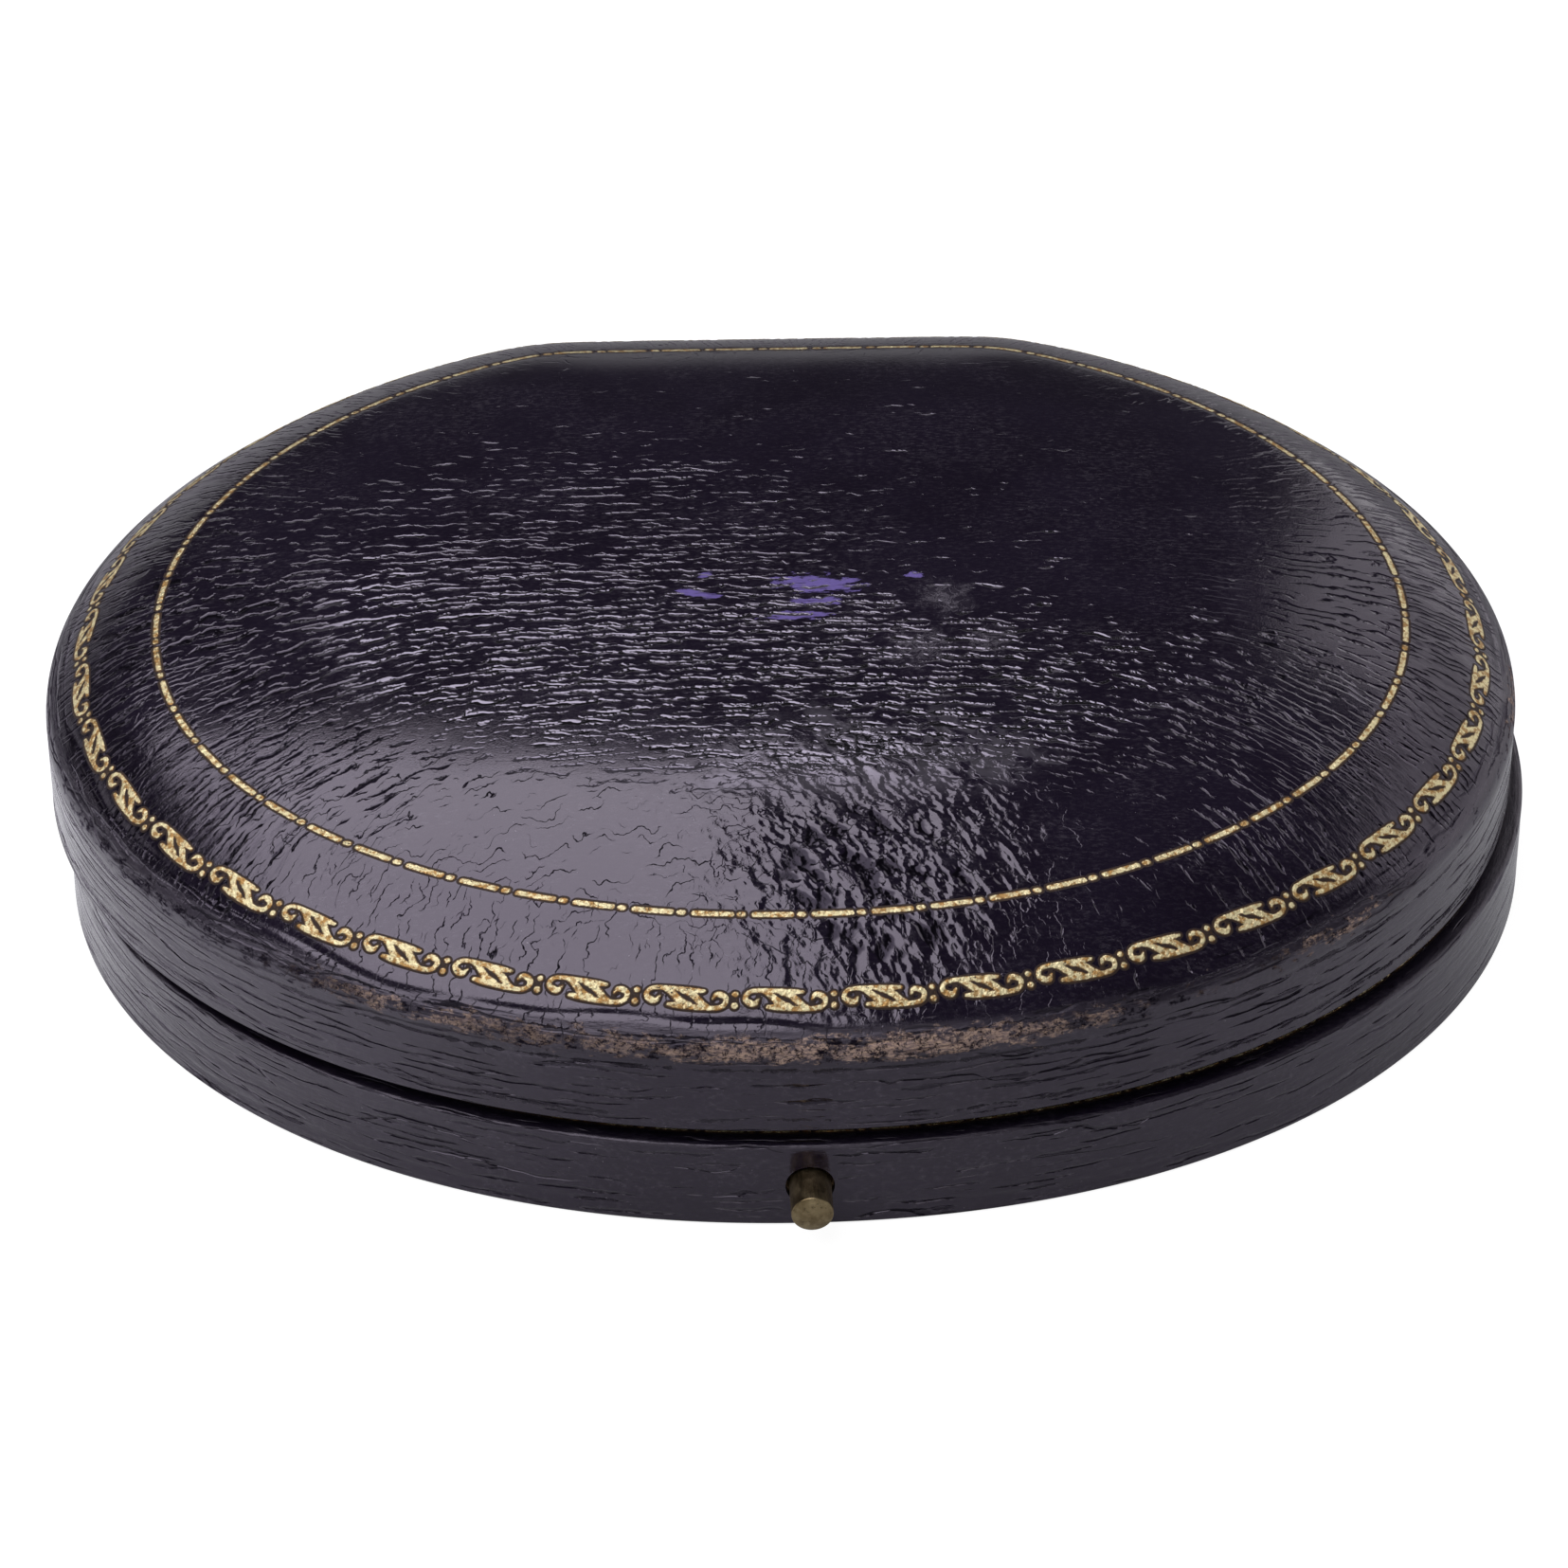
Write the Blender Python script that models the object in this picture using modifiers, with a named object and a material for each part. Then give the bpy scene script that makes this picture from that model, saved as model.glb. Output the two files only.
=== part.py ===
"""Oval bracelet presentation case with a domed, hinged lid and a push-button catch.

Metres, +Z up.  The origin is on the resting plane, under the middle of the base.
The front with its push button looks along -Y, and the hinge is at the flat rear.
Every outline is one oval, drawn in by an inset, so nested pieces share its shape.
"""
import math

import bmesh
import bpy
import numpy as np
from mathutils import Matrix, Vector

# Plan outline of the whole case
half_width = 0.0475
front_reach = 0.0379
rear_reach = 0.0402
rear_flat_cut = 0.0024
corner_softness = 0.00035
front_power = 2.07
rear_power = 2.0
around = 72

# Heights of the closed case
ledge_height = 0.00635
lid_gap = 0.00115
lid_wall_height = 0.00647
border_inset = 0.0024
border_rise = 0.00213
line_inset = 0.00735
line_rise = 0.0026
crown_rise = 0.0026
crown_power = 3.5
edge_round = 0.0006
lid_twist = math.radians(1.5)

# Materials' thicknesses and clearances
leather = 0.0006
turn_in_leather = 0.0004
lid_wood = 0.0018
base_wood = 0.0039
board_thickness = 0.0013
paper_thickness = 0.00045
paper_clearance = 0.0004
fit_gap = 0.00025
snug_gap = 0.0001
rim_round = 0.0003
overrun = 0.001
merge_distance = 0.000001
sharp_angle = math.radians(35)
rod_sides = 12
knuckle_sides = 20
button_sides = 24
corner_steps = 4

# Leather turned in under the base and inside the lid
base_turn_in = 0.007
lid_turn_in_height = 0.003

# Collar that the lid closes over
collar_thickness = 0.0011
collar_rise = 0.00285
collar_round = 0.0003

# Velvet well and the pad that the bracelet goes round
well_floor_thickness = 0.001
well_lip_drop = 0.0008
pad_half_width = 0.027
pad_half_depth = 0.022
pad_height = 0.0031
lid_pad_height = 0.00115
lid_pad_margin = 0.00045
band_thickness = 0.0006

# Hinge at the flat rear
hinge_length = 0.030
knuckle_radius = 0.00095
knuckle_count = 5
knuckle_gap = 0.0002
knuckle_step = 0.00005
pin_radius = 0.0004
leaf_thickness = 0.00035
leaf_width = 0.0032
hinge_axis_rise = 0.00065
nail_spacing = 0.009
hinge_nail_inset = 0.00175

# Nails, all of one pattern
nail_radius = 0.0003
nail_head_radius = 0.0006
nail_head_height = 0.0003
nail_length = 0.0024
nail_point = 0.0004
short_nail_length = 0.0011

# Push button in the base's front wall
button_side = -0.00117
button_height = 0.00315
button_radius = 0.0013
button_proud = 0.0029
button_crown = 0.0002
button_travel = 0.001
flange_radius = 0.00155
flange_thickness = 0.0004
tail_radius = 0.0006
pocket_inset = 0.0016
pocket_half_width = 0.0032
pocket_floor = 0.00135

# Leaf spring behind the button
spring_half_length = 0.008
spring_width = 0.002
spring_thickness = 0.00025
spring_inset = 0.0027
spring_nail_side = 0.0063

# Catch plate and the keeper that it holds
catch_inset = 0.0041
catch_thickness = 0.00045
catch_half_width = 0.003
catch_tongue_half_width = 0.0015
catch_shoulder_height = 0.0052
catch_below_collar = 0.0002
catch_nose = 0.0005
catch_nose_height = 0.0007
keeper_half_width = 0.0034
keeper_thickness = 0.0004
keeper_height = 0.0026
keeper_window_half_width = 0.0017
keeper_window_height = 0.0011
keeper_nail_side = 0.0026

# Shares of width and height along soft profiles, chosen by eye
crown_shares = (0.86, 0.66, 0.42, 0.2)
band_shares = (0.0, 0.35, 0.7, 1.0)
slope_inside_border_share = 0.82
button_end_shares = ((0.0, 0.0), (0.7, 0.45), (0.93, 1.0), (1.0, 2.0))
well_wall_shares = ((0.0, 0.94), (0.03, 1.0), (0.08, 0.97), (0.14, 0.78), (0.27, 0.26), (0.40, 0.0))
pad_side_shares = ((0.965, 0.0), (1.0, 0.3), (0.985, 0.66), (0.93, 0.86), (0.8, 0.95), (0.45, 1.0))
lid_pad_shares = ((0.97, 0.0), (1.0, 0.22), (0.985, 0.45), (0.93, 0.7), (0.78, 0.9), (0.42, 1.0))

# Places and levels that follow from the values above
rear_flat_reach = rear_reach - rear_flat_cut
rim_height = ledge_height + lid_gap
shoulder_height = rim_height + lid_wall_height
border_height = shoulder_height + border_rise
line_height = border_height + line_rise
crown_height = line_height + crown_rise
lining_inset = leather + fit_gap
lid_inner_inset = lining_inset + lid_wood
turn_in_inset = lid_inner_inset + fit_gap
lid_face_inset = turn_in_inset + turn_in_leather
ring_inner_inset = lining_inset + base_wood
collar_inset = ring_inner_inset + fit_gap
cavity_inset = collar_inset + collar_thickness + fit_gap
board_low = leather + fit_gap
board_high = board_low + board_thickness
ring_high = ledge_height - leather - fit_gap
collar_low = board_high + fit_gap
collar_high = ledge_height + collar_rise
well_low = board_high + fit_gap
well_floor = well_low + well_floor_thickness
lid_ring_low = rim_height + leather + fit_gap
dome_low = shoulder_height - leather - fit_gap
lid_ring_high = dome_low - fit_gap
turn_in_high = rim_height + lid_turn_in_height
band_low = turn_in_high + fit_gap
hinge_axis = Vector((0, rear_flat_reach, ledge_height + hinge_axis_rise))
edge_slope = border_rise / border_inset
spring_face = front_reach - spring_inset
button_axis = Vector((button_side, 0, button_height))


def clear_scene():
    for thing in list(bpy.data.objects):
        bpy.data.objects.remove(thing)


def new_collection(name):
    collection = bpy.data.collections.new(name)
    bpy.context.scene.collection.children.link(collection)
    return collection


def material(name, colour, roughness, metallic=0.0):
    finish = bpy.data.materials.new(name)
    finish.use_nodes = True
    surface = finish.node_tree.nodes["Principled BSDF"]
    surface.inputs["Base Color"].default_value = (*colour, 1.0)
    surface.inputs["Roughness"].default_value = roughness
    surface.inputs["Metallic"].default_value = metallic
    finish.diffuse_color = (*colour, 1.0)
    return finish


def oval(inset):
    """Plan outline drawn in by inset: a superellipse whose rear is cut by a softened flat."""
    turn = np.linspace(0.0, 2.0 * math.pi, around, endpoint=False)
    across, along = np.cos(turn), np.sin(turn)
    rear = along > 0.0
    power = np.where(rear, rear_power, front_power)
    reach = np.where(rear, rear_reach, front_reach) - inset
    x = (half_width - inset) * np.sign(across) * np.abs(across) ** (2.0 / power)
    y = reach * np.sign(along) * np.abs(along) ** (2.0 / power)
    flat = rear_flat_reach - inset
    y = -corner_softness * np.logaddexp(-y / corner_softness, -flat / corner_softness)
    return np.stack([x, y], axis=1)


def pad_oval():
    """Ellipse of the bracelet pad, at the same turns as the outline."""
    turn = np.linspace(0.0, 2.0 * math.pi, around, endpoint=False)
    return np.stack([pad_half_width * np.cos(turn), pad_half_depth * np.sin(turn)], axis=1)


def dome_rows(depth):
    """Rows of the domed top at a depth below it, from its edge to near the middle.

    Each row is (plan loop, height).  The edge is a rounded corner at depth 0, and a
    mitred one below.  The crown's rows are the line's oval, drawn in by its shares.
    """
    lean = math.atan(edge_slope)
    down, side = depth * math.cos(lean), depth * math.sin(lean)
    rows = []
    if depth == 0:
        rise, run = edge_round * math.sin(lean), edge_round * math.cos(lean)
        for share in np.linspace(0.0, 1.0, corner_steps):
            keep = (1.0 - share) ** 2
            rows.append((oval(run * share ** 2), shoulder_height - edge_round * keep + rise * share ** 2))
    else:
        corner = shoulder_height + (depth - side) * edge_slope - down
        rows.append((oval(depth), corner))
    band = line_inset - border_inset
    slope = edge_slope * slope_inside_border_share
    bend = 2.0 * (line_rise / band - slope) / band
    for share in band_shares:
        step = band * share
        height = border_height + slope * step + bend * step * step / 2.0
        rows.append((oval(border_inset + step + side * (1.0 - share)), height - down))
    line = oval(line_inset)
    for share in crown_shares:
        height = line_height + crown_rise * (1.0 - share ** crown_power)
        rows.append((line * share, height - depth))
    return rows


def loft(name, rows, finish, low_pole=None, high_pole=None, origin=Vector()):
    """Closed solid through plan loops: a pole at each end, or a ring if there are none."""
    shape = bmesh.new()
    loops = []
    for plan, height in rows:
        loops.append([shape.verts.new(Vector((x, y, height)) - origin) for x, y in plan])
    pairs = list(zip(loops[:-1], loops[1:]))
    if low_pole is None:
        pairs.append((loops[-1], loops[0]))
    for first, second in pairs:
        for here in range(around):
            there = (here + 1) % around
            shape.faces.new((first[here], first[there], second[there], second[here]))
    if low_pole is not None:
        for loop, height in ((loops[0], low_pole), (loops[-1], high_pole)):
            pole = shape.verts.new(Vector((0, 0, height)) - origin)
            for here in range(around):
                shape.faces.new((pole, loop[here], loop[(here + 1) % around]))
    bmesh.ops.recalc_face_normals(shape, faces=shape.faces)
    mesh = bpy.data.meshes.new(name)
    shape.to_mesh(mesh)
    shape.free()
    return place(name, mesh, finish, origin)


def place(name, mesh, finish, origin=Vector()):
    thing = bpy.data.objects.new(name, mesh)
    thing.location = origin
    case.objects.link(thing)
    mesh.materials.append(finish)
    mesh.shade_smooth()
    mesh.set_sharp_from_angle(angle=sharp_angle)
    return thing


def flat_mesh(outlines, low, high):
    """Mesh of a filled 2D curve: the first outline, less the others, from low to high."""
    curve = bpy.data.curves.new("outline", "CURVE")
    curve.dimensions = "2D"
    curve.fill_mode = "BOTH"
    curve.extrude = (high - low) / 2.0
    for outline in outlines:
        spline = curve.splines.new("POLY")
        spline.points.add(len(outline) - 1)
        for point, (x, y) in zip(spline.points, outline):
            point.co = (x, y, 0.0, 1.0)
        spline.use_cyclic_u = True
    holder = bpy.data.objects.new("outline", curve)
    case.objects.link(holder)
    bpy.context.view_layer.update()
    flat = bpy.data.meshes.new_from_object(holder.evaluated_get(bpy.context.evaluated_depsgraph_get()))
    bpy.data.objects.remove(holder)
    shape = bmesh.new()
    shape.from_mesh(flat)
    bmesh.ops.remove_doubles(shape, verts=shape.verts, dist=merge_distance)
    bmesh.ops.translate(shape, verts=shape.verts, vec=(0, 0, (low + high) / 2.0))
    bmesh.ops.recalc_face_normals(shape, faces=shape.faces)
    shape.to_mesh(flat)
    shape.free()
    return flat


def plate(name, outlines, low, high, finish, origin=Vector()):
    mesh = flat_mesh(outlines, low, high)
    mesh.transform(Matrix.Translation(-origin))
    return place(name, mesh, finish, origin)


def turned(name, profile, finish, origin, direction, sides):
    """Turned piece: a profile of (radius, height) from its top down, spun round its height."""
    mesh = bpy.data.meshes.new(name)
    points = [(radius, 0.0, height) for radius, height in profile]
    mesh.from_pydata(points, [(k, k + 1) for k in range(len(points) - 1)], [])
    thing = place(name, mesh, finish, origin)
    thing.rotation_euler = Vector(direction).to_track_quat("Z", "Y").to_euler()
    spin = thing.modifiers.new("Turn", "SCREW")
    spin.steps = sides
    spin.render_steps = sides
    spin.use_merge_vertices = True
    spin.merge_threshold = merge_distance
    spin.use_smooth_shade = True
    return thing


def nail(name, length, finish, origin, direction):
    """Cut nail, its head's flat top at the origin and its head looking along direction."""
    profile = (
        (0.0, 0.0),
        (nail_head_radius, 0.0),
        (nail_head_radius, -nail_head_height),
        (nail_radius, -nail_head_height),
        (nail_radius, nail_point - length),
        (0.0, -length),
    )
    return turned(name, profile, finish, origin, direction, rod_sides)


def cutter_block(name, low, high):
    shape = bmesh.new()
    bmesh.ops.create_cube(shape, size=1.0)
    size = Vector(high) - Vector(low)
    bmesh.ops.scale(shape, verts=shape.verts, vec=size)
    bmesh.ops.translate(shape, verts=shape.verts, vec=(Vector(high) + Vector(low)) / 2.0)
    return keep_cutter(name, shape)


def cutter_rods(name, starts, direction, length, radius, sides=rod_sides):
    """Rods of one radius from each start along direction, as one cutter."""
    shape = bmesh.new()
    aim = Vector(direction).to_track_quat("Z", "Y").to_matrix().to_4x4()
    for start in starts:
        middle = Vector(start) + Vector(direction) * length / 2.0
        bmesh.ops.create_cone(shape, cap_ends=True, segments=sides, radius1=radius, radius2=radius,
                              depth=length, matrix=Matrix.Translation(middle) @ aim)
    return keep_cutter(name, shape)


def keep_cutter(name, shape):
    mesh = bpy.data.meshes.new(name)
    shape.to_mesh(mesh)
    shape.free()
    thing = bpy.data.objects.new(name, mesh)
    cutters.objects.link(thing)
    thing.display_type = "WIRE"
    thing.hide_render = True
    return thing


def combine(thing, tool, operation="DIFFERENCE"):
    step = thing.modifiers.new(operation.title(), "BOOLEAN")
    step.operation = operation
    step.solver = "EXACT"
    step.object = tool


def block_outline(low, high):
    return [(low[0], low[1]), (high[0], low[1]), (high[0], high[1]), (low[0], high[1])]


def base_shell():
    """Wooden ring and board of the base, its leather and the paper underneath."""
    ring = plate("base_ring", (oval(lining_inset), oval(ring_inner_inset)[::-1]),
                 board_low, ring_high, wood)
    board = plate("base_board", (oval(collar_inset),), board_low, board_high, wood)
    inner_paper = base_turn_in + fit_gap
    paper_high = board_low - paper_clearance
    paper = plate("base_paper", (oval(inner_paper),), paper_high - paper_thickness, paper_high,
                  paper_finish)
    under = ledge_height - leather
    rows = [
        (oval(rim_round), 0.0), (oval(0.0), rim_round), (oval(0.0), ledge_height - rim_round),
        (oval(rim_round), ledge_height), (oval(ring_inner_inset), ledge_height),
        (oval(ring_inner_inset), under), (oval(leather), under), (oval(leather), leather),
        (oval(base_turn_in), leather), (oval(base_turn_in), 0.0),
    ]
    skin = loft("base_leather", rows, leather_finish)
    return ring, board, paper, skin


def base_lining():
    """Leather-covered collar, velvet well round the bracelet's groove, and the middle pad."""
    collar = plate("base_collar", (oval(collar_inset), oval(collar_inset + collar_thickness)[::-1]),
                   collar_low, collar_high, collar_finish)
    soften = collar.modifiers.new("Soft edge", "BEVEL")
    soften.width = collar_round
    soften.segments = 1
    soften.limit_method = "ANGLE"
    wall, middle = oval(cavity_inset), pad_oval()
    lip = collar_high - well_lip_drop
    rows = [(wall, well_low)]
    for share, rise_share in well_wall_shares:
        rows.append((wall * (1.0 - share) + middle * share, well_floor + (lip - well_floor) * rise_share))
    rows.append((middle, well_floor))
    loft("base_well", rows, velvet, well_low, well_floor)
    pad_low = well_floor + fit_gap
    rows = [(middle * share, pad_low + pad_height * rise_share) for share, rise_share in pad_side_shares]
    loft("bracelet_pad", rows, velvet, pad_low, pad_low + pad_height)
    return collar


def lid_shell():
    """Wooden ring and domed board of the lid and the leather over them, round the twisted frame."""
    ring = plate("lid_ring", (oval(lining_inset), oval(lid_inner_inset)[::-1]),
                 lid_ring_low, lid_ring_high, wood, hinge_axis)
    top_rows = dome_rows(lining_inset)
    loft("lid_dome_board", [(oval(lining_inset), dome_low)] + top_rows, wood,
         dome_low, crown_height - lining_inset, hinge_axis)
    outer = dome_rows(0)[::-1] + [
        (oval(0.0), rim_height + rim_round), (oval(rim_round), rim_height),
        (oval(lid_face_inset - rim_round), rim_height), (oval(lid_face_inset), rim_height + rim_round),
        (oval(lid_face_inset), turn_in_high), (oval(turn_in_inset), turn_in_high),
        (oval(turn_in_inset), rim_height + leather), (oval(leather), rim_height + leather),
    ]
    skin = loft("lid_leather", outer + dome_rows(leather), leather_finish,
                crown_height, crown_height - leather, hinge_axis)
    return ring, skin


def lid_lining():
    """Silk band inside the lid's wall and the puffed satin pad under its board."""
    band_outer, band_inner = oval(turn_in_inset), oval(turn_in_inset + band_thickness)
    plate("lid_band", (band_outer, band_inner[::-1]), band_low, lid_ring_high, satin, hinge_axis)
    pad = oval(turn_in_inset + band_thickness + lid_pad_margin)
    rows = [(pad * share, lid_ring_high - lid_pad_height * drop) for share, drop in lid_pad_shares]
    loft("lid_satin_pad", rows, satin, lid_ring_high, lid_ring_high - lid_pad_height, hinge_axis)


def knuckle_ends(index):
    pitch = hinge_length / knuckle_count
    start = index * pitch - hinge_length / 2.0
    return start + knuckle_gap / 2.0, start + pitch - knuckle_gap / 2.0


def hinge_leaf(name, first, low):
    """Flat leaf with a comb of knuckles on the pin: every second knuckle, from the first one."""
    rear = rear_flat_reach
    neck = rear - knuckle_radius - fit_gap
    front = rear - leaf_width
    left_end, right_end = knuckle_ends(0)[0], knuckle_ends(knuckle_count - 1)[1]
    comb = [(left_end, neck), (left_end, front), (right_end, front), (right_end, neck)]
    starts = []
    for index in range(knuckle_count - 1, -1, -1):
        if index % 2 == first:
            left, right = knuckle_ends(index)
            finger_left, finger_right = left + knuckle_step, right - knuckle_step
            comb += [(finger_right, neck), (finger_right, rear), (finger_left, rear), (finger_left, neck)]
            starts.append((left, rear, hinge_axis.z))
    leaf = plate(name, (list(dict.fromkeys(comb)),), low, low + leaf_thickness, brass, hinge_axis)
    width = hinge_length / knuckle_count - knuckle_gap
    knuckles = cutter_rods(name + "_knuckles", starts, (1, 0, 0), width, knuckle_radius, knuckle_sides)
    combine(leaf, knuckles, "UNION")
    bore_start = (-hinge_length / 2.0 - overrun, rear, hinge_axis.z)
    combine(leaf, cutter_rods(name + "_bore", [bore_start], (1, 0, 0), hinge_length + 2 * overrun,
                              pin_radius + snug_gap))
    return leaf


def hinge(ring, skin, lid_ring, lid_skin):
    """Butt hinge let in between ledge and rim, with its pin, its nails and their holes."""
    base_low = ledge_height + snug_gap
    lid_low = rim_height - snug_gap - leaf_thickness
    base_leaf = hinge_leaf("hinge_leaf_base", 0, base_low)
    lid_leaf = hinge_leaf("hinge_leaf_lid", 1, lid_low)
    half = hinge_length / 2.0
    pin = place("hinge_pin", flat_mesh((circle(pin_radius, rod_sides),), -half, half), brass, hinge_axis)
    pin.rotation_euler = Vector((1, 0, 0)).to_track_quat("Z", "Y").to_euler()
    row = rear_flat_reach - hinge_nail_inset
    places = [(side * nail_spacing, row) for side in (-1, 0, 1)]
    base_top = base_low + leaf_thickness
    for index, (x, y) in enumerate(places):
        number = index + 1
        nail("hinge_nail_base_%d" % number, nail_length, brass, Vector((x, y, base_top)), (0, 0, 1))
        head = Vector((x, y, lid_low))
        lid_parts.append(nail("hinge_nail_lid_%d" % number, nail_length, brass, head, (0, 0, -1)))
    for leaf, start, direction in ((base_leaf, base_top, (0, 0, -1)), (lid_leaf, lid_low, (0, 0, 1))):
        heads = [(x, y, start - direction[2] * overrun) for x, y in places]
        combine(leaf, cutter_rods(leaf.name + "_heads", heads, direction, leaf_thickness + 2 * overrun,
                                  nail_head_radius + snug_gap))
        shanks = [(x, y, start) for x, y in places]
        drill = cutter_rods(leaf.name + "_drill", shanks, direction, nail_length + fit_gap,
                            nail_radius + snug_gap)
        for piece in ((ring, skin) if leaf is base_leaf else (lid_ring, lid_skin)):
            combine(piece, drill)
    side = half + fit_gap
    neck = rear_flat_reach - knuckle_radius - 2 * fit_gap
    behind = rear_flat_reach + knuckle_radius + overrun
    swing = knuckle_radius + fit_gap
    middle = hinge_axis.z
    combine(skin, cutter_block("base_hinge_notch", (-side, neck, middle - swing - snug_gap),
                               (side, behind, middle)))
    combine(lid_skin, cutter_block("lid_hinge_notch", (-side, neck, middle),
                                   (side, behind, middle + swing)))
    lid_parts.append(lid_leaf)


def circle(radius, sides):
    return [(radius * math.cos(2 * math.pi * k / sides), radius * math.sin(2 * math.pi * k / sides))
            for k in range(sides)]


def push_button(ring, skin):
    """Brass button: domed end, barrel through the wall, flange behind it and tail to the catch."""
    face = -front_reach
    flange_face = pocket_inset + fit_gap
    tail_end = catch_inset + catch_thickness + snug_gap
    end = [(button_radius * wide, button_proud - button_crown * drop) for wide, drop in button_end_shares]
    flange_back = flange_face + flange_thickness
    shank = [
        (button_radius, -flange_face), (flange_radius, -flange_face), (flange_radius, -flange_back),
        (tail_radius, -flange_back), (tail_radius, -tail_end), (0.0, -tail_end),
    ]
    turned("push_button", end + shank, aged_brass, button_axis + Vector((0, face, 0)), (0, -1, 0),
           button_sides)
    start = button_axis + Vector((0, face - overrun, 0))
    hole = cutter_rods("button_hole", [start], (0, 1, 0), pocket_inset + 2 * overrun,
                       button_radius + fit_gap, button_sides)
    combine(skin, hole)
    combine(ring, hole)
    inner = -front_reach + ring_inner_inset + overrun
    deep = cutter_block("button_pocket",
                        (button_side - pocket_half_width, face + pocket_inset, pocket_floor),
                        (button_side + pocket_half_width, inner, ring_high + overrun))
    spring_side = spring_half_length + fit_gap
    wide = cutter_block("spring_pocket", (button_side - spring_side, -spring_face - fit_gap, pocket_floor),
                        (button_side + spring_side, inner, ring_high + overrun))
    combine(ring, deep)
    combine(ring, wide)


def latch_spring(ring):
    """Leaf spring nailed across the pocket, with the button's tail through its middle."""
    low, high = button_height - spring_width / 2.0, button_height + spring_width / 2.0
    outline = block_outline((button_side - spring_half_length, -spring_face),
                            (button_side + spring_half_length, -spring_face + spring_thickness))
    leaf = plate("latch_spring", (outline,), low, high, steel)
    eye = cutter_rods("spring_eye", [button_axis + Vector((0, -front_reach, 0))], (0, 1, 0),
                      front_reach, tail_radius + snug_gap)
    combine(leaf, eye)
    back = -spring_face + spring_thickness + fit_gap
    starts = []
    for index, side in enumerate((-1, 1)):
        head = Vector((button_side + side * spring_nail_side, back + nail_head_height, button_height))
        length = nail_head_height + fit_gap + spring_thickness + short_nail_length
        nail("spring_nail_%d" % (index + 1), length, brass, head, (0, 1, 0))
        starts.append(head)
    reach = nail_head_height + 2 * fit_gap + spring_thickness + short_nail_length
    drill = cutter_rods("spring_drill", starts, (0, -1, 0), reach, nail_radius + snug_gap)
    combine(leaf, drill)
    combine(ring, drill)


def catch(skin, collar):
    """Catch plate on the button's tail: a tongue through the ledge, with a nose to the front."""
    near = -front_reach + catch_inset
    far = near + catch_thickness
    foot = collar_low
    top = collar_high - catch_below_collar
    nose_top = top - catch_nose
    side_view = [(far, foot), (far, top), (near, top), (near - catch_nose, nose_top),
                 (near - catch_nose, nose_top - catch_nose_height + catch_nose),
                 (near, nose_top - catch_nose_height + catch_nose), (near, foot)]
    mesh = flat_mesh((side_view,), -catch_tongue_half_width, catch_tongue_half_width)
    mesh.transform(Matrix(((0, 0, 1, 0), (1, 0, 0, 0), (0, 1, 0, 0), (0, 0, 0, 1))))
    mesh.transform(Matrix.Translation(Vector((0, 0, -button_height))))
    tongue = place("catch_plate", mesh, aged_brass, button_axis)
    wings = cutter_block("catch_wings", (button_side - catch_half_width, near, foot),
                         (button_side + catch_half_width, far, catch_shoulder_height))
    combine(tongue, wings, "UNION")
    eye = cutter_rods("catch_eye", [button_axis + Vector((0, near - overrun, 0))], (0, 1, 0),
                      catch_thickness + 2 * overrun, tail_radius + snug_gap)
    combine(tongue, eye)
    slot_side = catch_tongue_half_width + fit_gap
    behind = far + button_travel + overrun
    combine(skin, cutter_block("catch_slot",
                               (button_side - slot_side, near - fit_gap, ledge_height - 2 * leather),
                               (button_side + slot_side, behind, ledge_height + leather)))
    notch_side = catch_half_width + fit_gap
    combine(collar, cutter_block("catch_notch",
                                 (button_side - notch_side, near - overrun, collar_low - overrun),
                                 (button_side + notch_side, behind, collar_high + overrun)))


def keeper(lid_ring, lid_skin):
    """Slotted brass plate let into the lid's front wall, with two nails, in the twisted frame."""
    middle = button_side + (front_reach + rear_flat_reach) * math.sin(lid_twist)
    near = -front_reach + lid_inner_inset + fit_gap
    far = near + keeper_thickness
    low = rim_height + snug_gap
    high = low + keeper_height
    outline = block_outline((middle - keeper_half_width, near), (middle + keeper_half_width, far))
    body = plate("keeper_plate", (outline,), low, high, brass, hinge_axis)
    nose_top = collar_high - catch_below_collar
    sill = nose_top - keeper_window_height
    window = cutter_block("keeper_window",
                          (middle - keeper_window_half_width, near - overrun, sill),
                          (middle + keeper_window_half_width, far + overrun, nose_top + fit_gap))
    twisted_cutters.append(window)
    combine(body, window)
    height = high - nail_head_radius - snug_gap
    starts = []
    for index, side in enumerate((-1, 1)):
        head = Vector((middle + side * keeper_nail_side, far + snug_gap + nail_head_height, height))
        length = nail_head_height + keeper_thickness + short_nail_length
        twisted_parts.append(nail("keeper_nail_%d" % (index + 1), length, brass, head, (0, 1, 0)))
        starts.append(head)
    reach = nail_head_height + keeper_thickness + short_nail_length + fit_gap
    drill = cutter_rods("keeper_drill", starts, (0, -1, 0), reach, nail_radius + snug_gap)
    twisted_cutters.append(drill)
    combine(body, drill)
    combine(lid_ring, drill)
    recess = cutter_block("keeper_recess",
                          (middle - keeper_half_width - fit_gap, near - fit_gap / 2, rim_height - overrun),
                          (middle + keeper_half_width + fit_gap, far + overrun, high + fit_gap))
    twisted_cutters.append(recess)
    combine(lid_skin, recess)


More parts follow.
